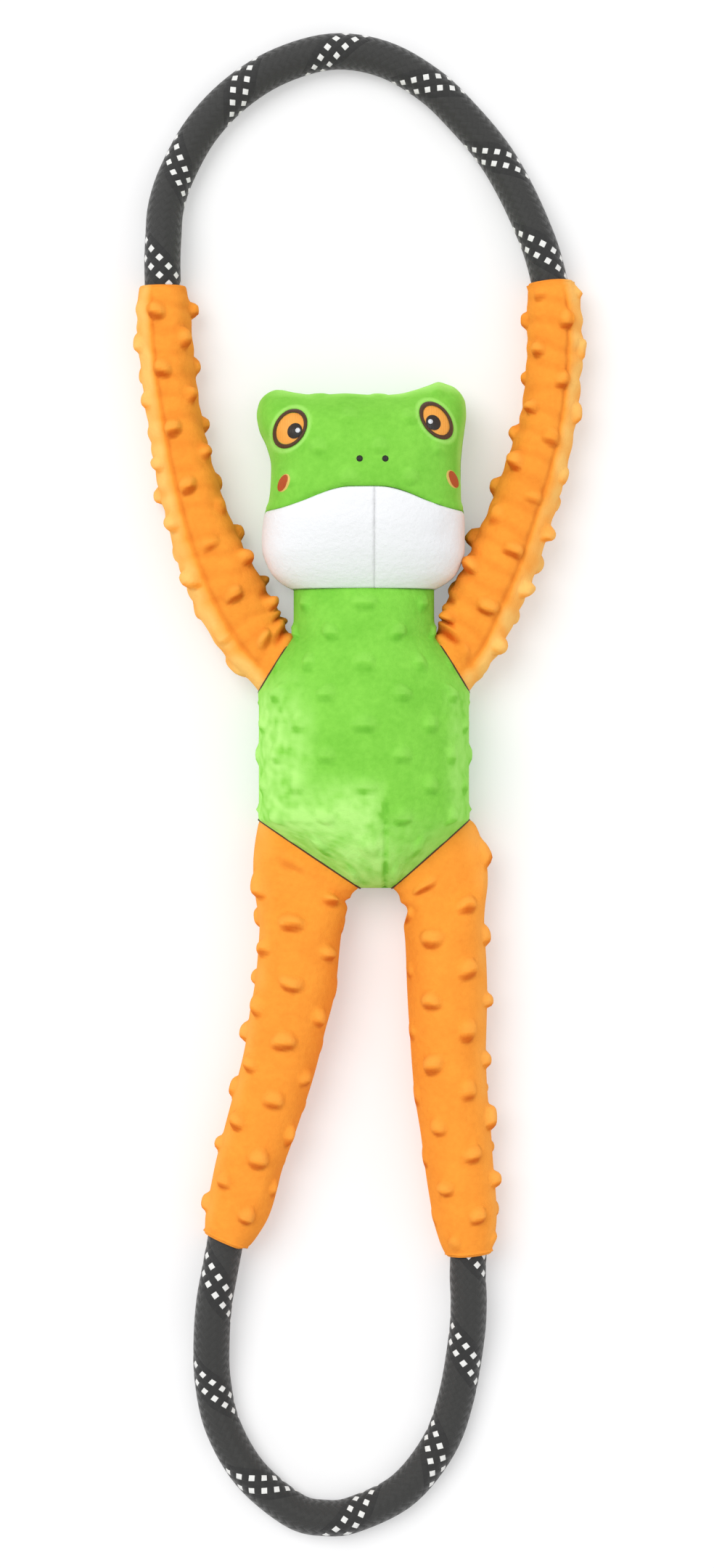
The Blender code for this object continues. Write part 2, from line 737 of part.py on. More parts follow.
def chin_region(name, shift, left_share, right_share):
    """The space under the chin's arched seam, between two shares of the head's half width."""
    side_y = neck_y + chin_side_share * head_length + shift
    middle_y = neck_y + chin_middle_share * head_length + shift
    bm = bmesh.new()
    outline = []
    for share in np.linspace(left_share, right_share, chin_arch_points):
        x = torso_offset + head_lean + share * head_half_width
        outline.append((x, middle_y + (side_y - middle_y) * share * share))
    outline += [(outline[-1][0], neck_y - overrun), (outline[0][0], neck_y - overrun)]
    base = bm.faces.new([bm.verts.new((x, y, seam_height - overrun)) for x, y in outline])
    raised = bmesh.ops.extrude_face_region(bm, geom=[base])
    tops = [v for v in raised["geom"] if isinstance(v, bmesh.types.BMVert)]
    bmesh.ops.translate(bm, verts=tops, vec=(0, 0, head_rise + 2 * overrun))
    return cutter(name, bm)


half_gap_share = gap / 2 / head_half_width
boolean(fronts[0], "DIFFERENCE", chin_region("chin_all", gap / 2, -chin_reach_share, chin_reach_share))
left_region = chin_region("chin_left", -gap / 2, -chin_reach_share, chin_seam_share - half_gap_share)
right_region = chin_region("chin_right", -gap / 2, chin_seam_share + half_gap_share, chin_reach_share)
boolean(fronts[1], "INTERSECT", left_region)
boolean(fronts[2], "INTERSECT", right_region)

# Face: eyes in layers, nostrils and cheek marks
for k, side in enumerate(("left", "right")):
    x, y = face_place(eye_across_shares[k], eye_up_shares[k])
    tilt = eye_tilts_deg[k]
    face_patch(f"{side}_eye_outline", x, y, eye_half_width, eye_half_height, tilt, 0, dark_thread, eye_outline)
    iris_width = eye_half_width - eye_outline - gap
    iris_height = eye_half_height * (1 - eye_outline / eye_half_width) - gap
    face_patch(f"{side}_iris", x, y, iris_width, iris_height, tilt, 0, orange_thread)
    pupil_x = x + pupil_across_shares[k] * eye_half_width
    pupil_y = y - pupil_down_share * eye_half_height
    face_patch(f"{side}_pupil", pupil_x, pupil_y, pupil_half_width, pupil_half_height, tilt, 1, black_thread)
    light_x = pupil_x - highlight_share * pupil_half_width
    light_y = pupil_y + highlight_share * pupil_half_height
    face_patch(f"{side}_eye_highlight", light_x, light_y, highlight_radius, highlight_radius, 0, 2, white_thread)
    x, y = face_place(nostril_across_shares[k], nostril_up_share)
    face_patch(f"{side}_nostril", x, y, nostril_radius, nostril_radius, 0, 0, black_thread)
    x, y = face_place(cheek_across_shares[k], cheek_up_shares[k])
    tilt = cheek_tilts_deg[k]
    face_patch(f"{side}_cheek_mark", x, y, cheek_half_width, cheek_half_height, tilt, 0, orange_thread)

# Limbs and hand loops. Both arms turn on one axis through the shoulders, both legs on one through the hips,
# and each loop on one just past the mouths of its two sleeves.
limb_kinds = (
    ("arm", 1, shoulder_y, (left_arm_route, right_arm_route), arm_half_width,
     (arm_width_shares, arm_rise_shares, arm_height_shares)),
    ("leg", -1, tip_y, (left_leg_route, right_leg_route), leg_half_width,
     (leg_width_shares, leg_rise_shares, leg_height_shares)),
)
for kind, forward, axis_y, routes, half_width, tables in limb_kinds:
    joint = add_joint(f"{kind}_joint", (torso_offset, axis_y, seam_height))
    both = {}
    for (side, sign), route in zip((("left", -1), ("right", 1)), routes):
        inner, outer = seams[side][kind]
        both[side] = limb_sections(inner, outer, route, half_width, tables)
    mouths = [both[side][-1][0] for side in ("left", "right")]
    plane = forward * max(forward * mouths[0][1], forward * mouths[1][1])
    hinge_y = plane + forward * loop_hinge_ahead
    leans = (upper_loop_leans if kind == "arm" else lower_loop_leans)
    hinges = [(m[0] + lean, hinge_y, m[2]) for m, lean in zip(mouths, leans)]
    mouth = (plane, forward)
    for (side, sign), hinge, lean in zip((("left", -1), ("right", 1)), hinges, leans):
        inner, outer = seams[side][kind]
        slope = abs((outer[1] - inner[1]) / (outer[0] - inner[0]))
        seat = (inner[0], axis_y, slope, sign, forward)
        limb(side, kind, both[side], seat, mouth, joint)
        last = both[side][-1][0]
        gone = (plane - last[1]) / (hinge_y - last[1])
        limb_rope(side, kind, both[side], (last[0] + lean * gone, plane, last[2]), mouth, joint)
    name = "upper_loop" if kind == "arm" else "lower_loop"
    reach = upper_loop_reach if kind == "arm" else lower_loop_reach
    shares = upper_loop_shares if kind == "arm" else lower_loop_shares
    loop_joint = add_joint(f"{name}_joint", ((hinges[0][0] + hinges[1][0]) / 2, hinge_y, hinges[0][2]), joint)
    hand_loop(name, hinges[0], hinges[1], reach, forward, shares, loop_joint)
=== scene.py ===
"""A plush frog tug toy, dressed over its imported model. It lies on its back, head towards +Y. Metres."""

import math

import bmesh
import bpy
import numpy as np
from mathutils import Matrix, Vector, noise
from mathutils.bvhtree import BVHTree
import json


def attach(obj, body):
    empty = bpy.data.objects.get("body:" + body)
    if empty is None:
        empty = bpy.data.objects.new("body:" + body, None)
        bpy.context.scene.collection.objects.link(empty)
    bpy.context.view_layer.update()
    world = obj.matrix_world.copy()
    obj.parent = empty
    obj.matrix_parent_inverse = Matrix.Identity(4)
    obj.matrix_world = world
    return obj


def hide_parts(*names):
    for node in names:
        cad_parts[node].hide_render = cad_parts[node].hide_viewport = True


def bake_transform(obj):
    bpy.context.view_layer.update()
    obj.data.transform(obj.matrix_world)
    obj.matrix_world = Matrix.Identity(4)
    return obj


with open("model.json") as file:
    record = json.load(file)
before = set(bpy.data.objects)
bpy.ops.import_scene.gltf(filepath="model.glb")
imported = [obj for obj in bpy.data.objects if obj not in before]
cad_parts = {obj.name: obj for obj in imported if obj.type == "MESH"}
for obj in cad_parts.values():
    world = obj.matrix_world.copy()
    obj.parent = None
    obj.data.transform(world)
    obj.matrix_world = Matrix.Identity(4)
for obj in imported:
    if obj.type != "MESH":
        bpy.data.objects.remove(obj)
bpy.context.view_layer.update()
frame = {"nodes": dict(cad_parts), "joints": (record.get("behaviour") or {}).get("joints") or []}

# The camera looks straight down on the toy, as the photograph does.
# Its lens is set so that the limbs, which lie just off the floor, come out at the photograph's scale.
photo_width_px = 984
photo_height_px = 2160
metres_per_px = 0.0003
origin_px = (495.5, 1081)
limb_level = 0.014
camera_height = 2.0

camera_data = bpy.data.cameras.new("camera")
camera_data.sensor_width = 36
camera_data.lens = camera_data.sensor_width * (camera_height - limb_level) / (photo_height_px * metres_per_px)
camera = bpy.data.objects.new("camera", camera_data)
bpy.context.scene.collection.objects.link(camera)
camera.location = (
    (photo_width_px / 2 - origin_px[0]) * metres_per_px,
    (origin_px[1] - photo_height_px / 2) * metres_per_px,
    camera_height,
)
bpy.context.scene.camera = camera

# A pale floor under a pale sky, with soft light from the upper left and a weaker fill from the right.
# The floor takes the toy's soft shadow, which a little glow that only the camera sees keeps pale.
floor_size = 8.0
floor_drop = 0.0003
floor_colour = (0.93, 0.93, 0.935, 1)
floor_roughness = 0.9
floor_lift = 1.08
floor_lift_share = 0.28
sky_strength = 0.64
key_strength = 1.50
fill_strength = 0.35


def built(name, bm):
    """An object of the shape given, placed in the scene."""
    mesh = bpy.data.meshes.new(name)
    bm.to_mesh(mesh)
    bm.free()
    piece = bpy.data.objects.new(name, mesh)
    bpy.context.scene.collection.objects.link(piece)
    return piece


def new_finish(name, roughness):
    """A material, its node tree and its shader."""
    made = bpy.data.materials.new(name)
    made.use_nodes = True
    shader = made.node_tree.nodes["Principled BSDF"]
    shader.inputs["Roughness"].default_value = roughness
    return made, made.node_tree, shader


floor_bm = bmesh.new()
bmesh.ops.create_grid(floor_bm, x_segments=1, y_segments=1, size=floor_size / 2)
bmesh.ops.translate(floor_bm, verts=floor_bm.verts, vec=(0, 0, -floor_drop))
floor = built("floor", floor_bm)
floor_paint, floor_tree, floor_shader = new_finish("floor_paint", floor_roughness)
floor_shader.inputs["Base Color"].default_value = floor_colour
floor_nodes = floor_tree.nodes
floor_links = floor_tree.links
glow = floor_nodes.new("ShaderNodeEmission")
glow.inputs["Strength"].default_value = floor_lift
seen_by_camera = floor_nodes.new("ShaderNodeLightPath")
lift_share = floor_nodes.new("ShaderNodeMath")
lift_share.operation = "MULTIPLY"
lift_share.inputs[1].default_value = floor_lift_share
lifted = floor_nodes.new("ShaderNodeMixShader")
floor_links.new(seen_by_camera.outputs["Is Camera Ray"], lift_share.inputs[0])
floor_links.new(lift_share.outputs[0], lifted.inputs[0])
floor_links.new(floor_shader.outputs[0], lifted.inputs[1])
floor_links.new(glow.outputs[0], lifted.inputs[2])
floor_links.new(lifted.outputs[0], floor_nodes["Material Output"].inputs["Surface"])
floor.data.materials.append(floor_paint)

world = bpy.data.worlds.new("sky")
bpy.context.scene.world = world
world.use_nodes = True
world_nodes = world.node_tree.nodes
world_links = world.node_tree.links
sky = world_nodes["Background"]
sky.inputs["Color"].default_value = (1, 1, 1, 1)
sky.inputs["Strength"].default_value = sky_strength
seen_sky = world_nodes.new("ShaderNodeBackground")
seen_sky.inputs["Color"].default_value = (1, 1, 1, 1)
seen = world_nodes.new("ShaderNodeLightPath")
sky_mix = world_nodes.new("ShaderNodeMixShader")
world_links.new(seen.outputs["Is Camera Ray"], sky_mix.inputs[0])
world_links.new(sky.outputs[0], sky_mix.inputs[1])
world_links.new(seen_sky.outputs[0], sky_mix.inputs[2])
world_links.new(sky_mix.outputs[0], world_nodes["World Output"].inputs["Surface"])

for lamp_name, strength, angle, aim in (
    ("key_light", key_strength, math.radians(40), (0.45, -0.40, -1)),
    ("fill_light", fill_strength, math.radians(60), (-0.6, 0.1, -1)),
):
    lamp_data = bpy.data.lights.new(lamp_name, "SUN")
    lamp_data.energy = strength
    lamp_data.angle = angle
    lamp = bpy.data.objects.new(lamp_name, lamp_data)
    bpy.context.scene.collection.objects.link(lamp)
    lamp.rotation_mode = "QUATERNION"
    lamp.rotation_quaternion = Vector(aim).to_track_quat("-Z", "Y")
bpy.context.scene.view_settings.view_transform = "Standard"

# Rope: one black braid of 24 strands, 15 mm thick. Two of its strands are white, and show as two
# rows of small checks that wind round the rope. A loop of it stands out beyond the arms and the legs.
rope_diameter = 0.015
rope_turn_points = 28
rope_step = 0.002
upper_braid_pitch = 0.0429
lower_braid_pitch = 0.0442
braid_strands = 12
tracer_strands = (0, 2)
pick_half = 0.44
pick_crown = 3.2
fibre_scale = 1400
rope_colour = (0.031, 0.031, 0.029, 1)
rope_dark_colour = (0.012, 0.012, 0.012, 1)
check_colour = (0.80, 0.80, 0.78, 1)

joints = {joint["name"]: Vector(joint["pos_m"]) for joint in frame["joints"]}
seam_height = joints["neck"].z
middle_x = joints["neck"].x
neck_y = joints["neck"].y
mouth_planes = {"arms": 0.20853, "legs": -0.19502}
rope_ends = {
    "arms": ((-0.0814, 0.2048, 0.0116), (0.0793, 0.2050, 0.0116)),
    "legs": ((-0.0551, -0.1866, 0.0116), (0.0452, -0.1918, 0.0115)),
}
upper_loop_route = (
    (-0.0816, 0.2166, 0.0115), (-0.0812, 0.2271, 0.0110), (-0.0802, 0.2394, 0.0090),
    (-0.0758, 0.2534, 0.0066), (-0.0659, 0.2714, 0.0060), (-0.0515, 0.2867, 0.0060),
    (-0.0333, 0.2981, 0.0060), (-0.0112, 0.3042, 0.0060), (0.0101, 0.3010, 0.0060),
    (0.0291, 0.2902, 0.0060), (0.0433, 0.2766, 0.0060), (0.0560, 0.2613, 0.0060),
    (0.0654, 0.2447, 0.0082), (0.0730, 0.2271, 0.0110), (0.0765, 0.2166, 0.0115),
)
lower_loop_route = (
    (-0.0582, -0.2031, 0.0115), (-0.0602, -0.2147, 0.0109), (-0.0613, -0.2294, 0.0090),
    (-0.0610, -0.2466, 0.0062), (-0.0567, -0.2663, 0.0060), (-0.0453, -0.2860, 0.0060),
    (-0.0273, -0.3010, 0.0060), (-0.0144, -0.3042, 0.0060), (-0.0021, -0.3027, 0.0060),
    (0.0180, -0.2926, 0.0060), (0.0330, -0.2739, 0.0060), (0.0402, -0.2537, 0.0064),
    (0.0443, -0.2294, 0.0090), (0.0452, -0.2147, 0.0109), (0.0448, -0.2031, 0.0115),
)


def smooth_route(points, step):
    """Points about a step apart on a smooth curve through the points given."""
    points = np.array([tuple(point) for point in points], float)
    padded = np.vstack([2 * points[0] - points[1], points, 2 * points[-1] - points[-2]])
    fine = []
    for a, b, c, d in zip(padded[:-3], padded[1:-2], padded[2:-1], padded[3:]):
        for t in np.linspace(0, 1, 16, endpoint=False):
            fine.append(
                b + t * (c - a) / 2
                + t * t * (2 * a - 5 * b + 4 * c - d) / 2
                + t ** 3 * (3 * b - 3 * c + d - a) / 2
            )
    fine = np.array(fine + [points[-1]])
    run = np.concatenate([[0], np.cumsum(np.linalg.norm(np.diff(fine, axis=0), axis=1))])
    places = np.linspace(0, run[-1], int(run[-1] / step) + 2)
    return np.stack([np.interp(places, run, fine[:, k]) for k in range(3)], axis=1), places


def swept(name, turns, stations, place):
    """A tube made by extruding one ring. place(station, turn) gives each point, turn going from 0 to 1.

    Its map runs once round the tube from 0 to 1, and along it in stations from 0 to 1.
    """
    bm = bmesh.new()
    turn_layer = bm.verts.layers.float.new("turn")
    run_layer = bm.verts.layers.float.new("run")
    ring = bmesh.ops.create_circle(bm, segments=turns, radius=1)["verts"]
    for k, vertex in enumerate(ring):
        vertex[turn_layer] = k / turns
        vertex.co = place(0, k / turns)
    edges = list(bm.edges)
    for station in range(1, stations):
        made = bmesh.ops.extrude_edge_only(bm, edges=edges)["geom"]
        edges = [item for item in made if isinstance(item, bmesh.types.BMEdge)]
        for vertex in (item for item in made if isinstance(item, bmesh.types.BMVert)):
            vertex[run_layer] = station / (stations - 1)
            vertex.co = place(station, vertex[turn_layer])
    map_layer = bm.loops.layers.uv.new("map")
    for face in bm.faces:
        around = [loop.vert[turn_layer] for loop in face.loops]
        wraps = max(around) - min(around) > 0.5
        for loop, turn in zip(face.loops, around):
            loop[map_layer].uv = (turn + (wraps and turn < 0.5), loop.vert[run_layer])
    bmesh.ops.recalc_face_normals(bm, faces=bm.faces)
    piece = built(name, bm)
    for layer_name in ("turn", "run"):
        piece.data.attributes.remove(piece.data.attributes[layer_name])
    piece.data.shade_smooth()
    return piece


def rope_tube(name, route, start_turn=0.0, braid_pitch=upper_braid_pitch):
    """A round rope along a route, flat where it meets the floor. Its map holds the turns of its braid."""
    path, places = smooth_route(route, rope_step)
    ahead = np.gradient(path, axis=0)
    ahead = ahead / np.linalg.norm(ahead, axis=1)[:, None]

    def place(station, turn):
        forward = Vector(ahead[station])
        across = forward.cross(Vector((0, 0, 1))).normalized()
        up = across.cross(forward)
        angle = 2 * math.pi * turn
        point = Vector(path[station]) + (across * math.cos(angle) + up * math.sin(angle)) * rope_diameter / 2
        point.z = max(point.z, 0)
        return point

    piece = swept(name, rope_turn_points, len(path), place)
    for loop in piece.data.uv_layers["map"].data:
        loop.uv = (loop.uv[0] + start_turn, loop.uv[1] * places[-1] / braid_pitch)
    return piece, path


def node_tools(tree):
    """Short ways to add a node to a tree and to set or link its inputs."""

    def node(kind, **settings):
        made = tree.nodes.new(kind)
        for key, value in settings.items():
            setattr(made, key, value)
        return made

    def math_node(operation, *values):
        made = node("ShaderNodeMath", operation=operation)
        for k, value in enumerate(values):
            if isinstance(value, (int, float)):
                made.inputs[k].default_value = value
            else:
                tree.links.new(value, made.inputs[k])
        return made.outputs[0]

    return node, math_node


def mix_colour(tree, factor, one, two):
    """A colour mix of two colours or sockets."""
    made = tree.nodes.new("ShaderNodeMix")
    made.data_type = "RGBA"
    for socket, value in zip((made.inputs[0], made.inputs[6], made.inputs[7]), (factor, one, two)):
        if isinstance(value, (int, float, tuple)):
            socket.default_value = value
        else:
            tree.links.new(value, socket)
    return made.outputs[2]


rope_braid, tree, shader = new_finish("rope_braid", 0.72)
node, calc = node_tools(tree)
shader.inputs["Sheen Weight"].default_value = 0.3
rope_map = node("ShaderNodeUVMap", uv_map="map")
split = node("ShaderNodeSeparateXYZ")
tree.links.new(rope_map.outputs[0], split.inputs[0])
pitches = split.outputs[1]
right_hand = calc("MULTIPLY", calc("SUBTRACT", pitches, split.outputs[0]), braid_strands)
left_hand = calc("MULTIPLY", calc("ADD", pitches, split.outputs[0]), braid_strands)
right_strand = calc("FLOOR", right_hand)
left_strand = calc("FLOOR", left_hand)
on_top = calc("COMPARE", calc("FLOORED_MODULO", calc("ADD", right_strand, left_strand), 2), 0, 0.5)
tracer_number = calc("FLOORED_MODULO", right_strand, braid_strands)
tracer = calc("ADD", *(calc("COMPARE", tracer_number, strand, 0.5) for strand in tracer_strands))
from_beside = calc("FLOORED_MODULO", calc("ADD", right_strand, 1), braid_strands)
beside = calc("LESS_THAN", from_beside, tracer_strands[1] + 2.5)
across_right = calc("ABSOLUTE", calc("SUBTRACT", calc("FRACT", right_hand), 0.5))
across_left = calc("ABSOLUTE", calc("SUBTRACT", calc("FRACT", left_hand), 0.5))
inside_pick = calc("LESS_THAN", calc("MAXIMUM", across_right, across_left), pick_half)
white_pick = calc("MULTIPLY", calc("MULTIPLY", on_top, tracer), inside_pick)
fibre = node("ShaderNodeTexNoise")
fibre.inputs["Scale"].default_value = fibre_scale
fibre.inputs["Detail"].default_value = 3
place_in_toy = node("ShaderNodeTexCoord")
tree.links.new(place_in_toy.outputs["Object"], fibre.inputs["Vector"])
plain = mix_colour(tree, calc("MULTIPLY", fibre.outputs[0], 0.5), rope_colour, rope_dark_colour)
dark_pick = calc("MULTIPLY", beside, calc("SUBTRACT", 1, calc("MULTIPLY", on_top, tracer)))
shaded = mix_colour(tree, calc("MULTIPLY", dark_pick, 0.8), plain, rope_dark_colour)
tree.links.new(mix_colour(tree, white_pick, shaded, check_colour), shader.inputs["Base Color"])
crown_right, crown_left = (
    calc("SUBTRACT", 1, calc("MULTIPLY", calc("POWER", across, 2), pick_crown))
    for across in (across_right, across_left)
)
crown = calc(
    "ADD", calc("MULTIPLY", on_top, crown_right), calc("MULTIPLY", calc("SUBTRACT", 1, on_top), crown_left)
)
relief = calc("ADD", crown, calc("MULTIPLY", fibre.outputs[0], 0.5))
rope_bump = node("ShaderNodeBump")
rope_bump.inputs["Strength"].default_value = 0.55
rope_bump.inputs["Distance"].default_value = 0.0005
tree.links.new(relief, rope_bump.inputs["Height"])
tree.links.new(rope_bump.outputs[0], shader.inputs["Normal"])

for name, loop_body, limb_body, route, away, start_turn, braid_pitch in (
    ("upper_rope", "upper_loop", "arms", upper_loop_route, 1, -0.188, upper_braid_pitch),
    ("lower_rope", "lower_loop", "legs", lower_loop_route, -1, 0.082, lower_braid_pitch),
):
    first, last = rope_ends[limb_body]
    piece, path = rope_tube(name, [first, *route, last], start_turn, braid_pitch)
    piece.data.materials.append(rope_braid)
    mouth_y = mouth_planes[limb_body]
    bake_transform(piece)
    length = float(np.linalg.norm(np.diff(path, axis=0), axis=1).sum())
    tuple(route[0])
    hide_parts(loop_body)

# Plush: a short green, orange or white pile on a knitted back. Raised dots stand out of the green and orange.
# Painted shade darkens it at the dots' feet and in its seams, folds, gathers and the torso's dart, and
# painted highlight pales its rims and the dots' tops.
plush_wall = 0.0015
# Each plush has its pile colour, a darker colour for random mottle and painted shade, and a paler colour for
# painted highlight.
green_pile = (0.250, 0.670, 0.075, 1)
green_shade_and_mottle = (0.130, 0.470, 0.030, 1)
green_highlight = (0.480, 0.900, 0.220, 1)
orange_pile = (1.000, 0.355, 0.042, 1)
orange_shade_and_mottle = (0.640, 0.115, 0.006, 1)
orange_highlight = (1.000, 0.560, 0.150, 1)
white_pile = (0.895, 0.905, 0.925, 1)
white_shade_and_mottle = (0.850, 0.860, 0.880, 1)


def shared_effect(name, colours, amounts):
    """A node group that gives a colour and a normal, from the colours and the amounts named."""
    made = bpy.data.node_groups.new(name, "ShaderNodeTree")
    for label in colours:
        made.interface.new_socket(label, in_out="INPUT", socket_type="NodeSocketColor")
    for label in amounts:
        made.interface.new_socket(label, in_out="INPUT", socket_type="NodeSocketFloat")
    made.interface.new_socket("Colour", in_out="OUTPUT", socket_type="NodeSocketColor")
    made.interface.new_socket("Normal", in_out="OUTPUT", socket_type="NodeSocketVector")
    return made


pile = shared_effect("plush_pile", ("Pile", "Deep", "Tips"), ("PaintedShading", "Mottle"))
node, calc = node_tools(pile)
given = node("NodeGroupInput")
result = node("NodeGroupOutput")
where = node("ShaderNodeTexCoord")


def pile_noise(scale, detail):
    """Noise at a scale on the toy's own coordinates."""
    made = node("ShaderNodeTexNoise")
    made.inputs["Scale"].default_value = scale
    made.inputs["Detail"].default_value = detail
    pile.links.new(where.outputs["Object"], made.inputs["Vector"])
    return made.outputs[0]


blotches = pile_noise(70, 2)
tufts = pile_noise(420, 3)
hairs = pile_noise(2200, 2)
mottled = calc("SUBTRACT", calc("ADD", blotches, calc("MULTIPLY", tufts, 0.8)), 0.62)
patchy = calc("MULTIPLY", mottled, given.outputs["Mottle"])
# Above 0 the shading attribute adds painted shade towards the darker colour, below 0 painted highlight
# towards the paler one.
shade = calc("MINIMUM", calc("MAXIMUM", calc("ADD", patchy, given.outputs["PaintedShading"]), 0), 1)
shaded = mix_colour(pile, shade, given.outputs["Pile"], given.outputs["Deep"])
highlight_share = calc("MAXIMUM", calc("MULTIPLY", given.outputs["PaintedShading"], -1), 0)
pile.links.new(mix_colour(pile, highlight_share, shaded, given.outputs["Tips"]), result.inputs["Colour"])
nap = node("ShaderNodeBump")
nap.inputs["Strength"].default_value = 0.5
nap.inputs["Distance"].default_value = 0.0008
pile.links.new(calc("ADD", calc("MULTIPLY", hairs, 0.35), tufts), nap.inputs["Height"])
pile.links.new(nap.outputs[0], result.inputs["Normal"])


def use_effect(tree, shader, effect, **colours_and_amounts):
    """Puts a shared effect into a finish, and gives its node."""
    group = tree.nodes.new("ShaderNodeGroup")
    group.node_tree = effect
    for label, value in colours_and_amounts.items():
        group.inputs[label].default_value = value
    tree.links.new(group.outputs["Colour"], shader.inputs["Base Color"])
    tree.links.new(group.outputs["Normal"], shader.inputs["Normal"])
    return group


def plush(name, pile_colour, shade_and_mottle_colour, highlight_colour, mottle, sheen):
    """A plush finish. Its shading attribute darkens it with painted shade above 0, and pales it with painted
    highlight below 0.
    """
    made, tree, shader = new_finish(name, 0.95)
    shader.inputs["Sheen Weight"].default_value = sheen
    shader.inputs["Sheen Roughness"].default_value = 0.5
    shader.inputs["Sheen Tint"].default_value = pile_colour
    shader.inputs["Specular IOR Level"].default_value = 0.15
    group = use_effect(tree, shader, pile, Pile=pile_colour, Deep=shade_and_mottle_colour, Tips=highlight_colour, Mottle=mottle)
    painted_shading = tree.nodes.new("ShaderNodeAttribute")
    painted_shading.attribute_name = "painted_shading"
    tree.links.new(painted_shading.outputs["Fac"], group.inputs["PaintedShading"])
    return made


green_plush = plush("green_plush_pile", green_pile, green_shade_and_mottle, green_highlight, 0.9, 0.6)
orange_plush = plush("orange_plush_pile", orange_pile, orange_shade_and_mottle, orange_highlight, 0.4, 0.5)
white_plush = plush("white_plush_pile", white_pile, white_shade_and_mottle, white_pile, 0.3, 0.5)

# Torso: a front and a back panel of green plush, stuffed firm. A short dart rounds the belly.
# The arms are sewn into its slanted shoulders, the legs into the two sides of its pointed end.
torso_length = 0.123
neck_half_width = 0.029
torso_half_width = 0.0434
tip_half_width = 0.0066
tip_shift = 0.005
shoulder_drop = 0.0192
side_drop = 0.0423
hip_drop = 0.0948
torso_roundness = 0.87
limb_roundness = 0.93
arm_root_rise = 0.0114
leg_root_rise = 0.0123
torso_rises = (
    (0, 0.0200), (0.012, 0.0235), (0.025, 0.0275), (0.043, 0.0335), (0.068, 0.0360), (0.086, 0.0352),
    (0.098, 0.0315), (0.110, 0.0240), (0.117, 0.0160), (0.121, 0.0085), (0.123, 0.0004),
)
seam_points = 24
panel_columns = 56
open_height = 0.00015
edge_crown_share = 1.02
rim_bend = 0.004
rim_bend_shares = 6
swell_steps = 20
swell_cell_shares = 1.2
evening_rounds = 8
dart_x = 0.0104
dart_top_y = -0.0015
dart_depth = 0.0009
dart_half_width = 0.0016
dart_run_in = 0.006
dart_shade = 0.7
torso_dot_rise = 0.0014
dot_column_gap = 0.0124
dot_row_gap = 0.0250
dot_radius = 0.0041
dot_foot_half = (0.0040, 0.0020)
dot_foot_drop = 0.0027
dot_foot_shade = 1.6
torso_foot_shade = 0.5
torso_dot_highlight = 0.1
panel_arc_share = 0.8
seam_margin = 0.003
seam_clear = 0.007
neck_clear = 0.006
on_floor = 0.004
# Painted highlight on the torso's front, broken up by noise at these scales, in patches that each give a
# strength, where it fades in across and where it fades in down.
highlight_scales = (110, 330)
highlight_patches = (
    (1, (-0.014, -0.034), (0.052, 0.020)),
    (1, (0.0125, dart_x), (0.008, -0.014)),
    (0.6, (1, 0.5), (-0.006, -0.034)),
    (0.5, (0.032, 0.042), (0.052, 0.030)),
)


def eased(table, share):
    """The value at a share along a table of (share, value), on a curve that doesn't overshoot."""
    places = [row[0] for row in table]
    values = [row[1] for row in table]
    slopes = np.diff(values) / np.diff(places)
    ends = [slopes[0]]
    for before, after in zip(slopes[:-1], slopes[1:]):
        ends.append(0 if before * after <= 0 else 2 * before * after / (before + after))
    ends.append(slopes[-1])
    share = min(max(share, places[0]), places[-1])
    i = min(int(np.searchsorted(places, share, side="right")) - 1, len(places) - 2)
    width = places[i + 1] - places[i]
    t = (share - places[i]) / width
    low = values[i] * (1 + 2 * t) * (1 - t) ** 2 + width * ends[i] * t * (1 - t) ** 2
    return low + values[i + 1] * t * t * (3 - 2 * t) + width * ends[i + 1] * t * t * (t - 1)


def rounded(angle, roundness):
    """The cosine and sine of an angle, pushed out towards a square by a roundness below 1."""
    across, up = math.cos(angle), math.sin(angle)
    return (
        math.copysign(abs(across) ** roundness, across),
        math.copysign(abs(up) ** roundness, up),
    )


def torso_half(drop):
    """Half the torso's width at a drop below the neck."""
    drops = (0, shoulder_drop, side_drop, hip_drop, torso_length)
    widths = (neck_half_width, neck_half_width, torso_half_width, torso_half_width, tip_half_width)
    return float(np.interp(drop, drops, widths))


def torso_middle(drop):
    """The torso's middle line, which leans to one side at its pointed end."""
    return middle_x + tip_shift * max(0, drop - hip_drop) / (torso_length - hip_drop)


def edge_height(drop):
    """How far the torso's edge stands off the side seam, open where a limb is sewn in."""
    for top, bottom, rise in (
        (shoulder_drop, side_drop, arm_root_rise), (hip_drop, torso_length, leg_root_rise)
    ):
        if top <= drop <= bottom:
            along = abs(2 * (drop - top) / (bottom - top) - 1)
            fullness = 2 / limb_roundness
            return max(rise * max(1 - along ** fullness, 0) ** (1 / fullness), open_height)
    return open_height


def panel_point(share, middle, left, right, rise, edge, front, roundness):
    """A point across a panel, share going from -1 to 1. Its edge stands off the seam by the edge's height."""
    rise = max(rise, edge_crown_share * edge)
    start = math.asin(min(edge / rise, 1) ** (1 / roundness))
    reach = rounded(start, roundness)[0]
    angle = math.pi / 2 - share * (math.pi / 2 - start)
    across, up = rounded(angle, roundness)
    wide = across / max(reach, 0.001)
    x = middle + wide * (right if wide > 0 else left)
    height = max(up * rise, open_height)
    if front:
        return x, seam_height + height
    drop = seam_height - height
    bend = rim_bend * min(1, (1 - abs(share)) * rim_bend_shares)
    return x, max((drop + math.hypot(drop, bend)) / 2, 0)


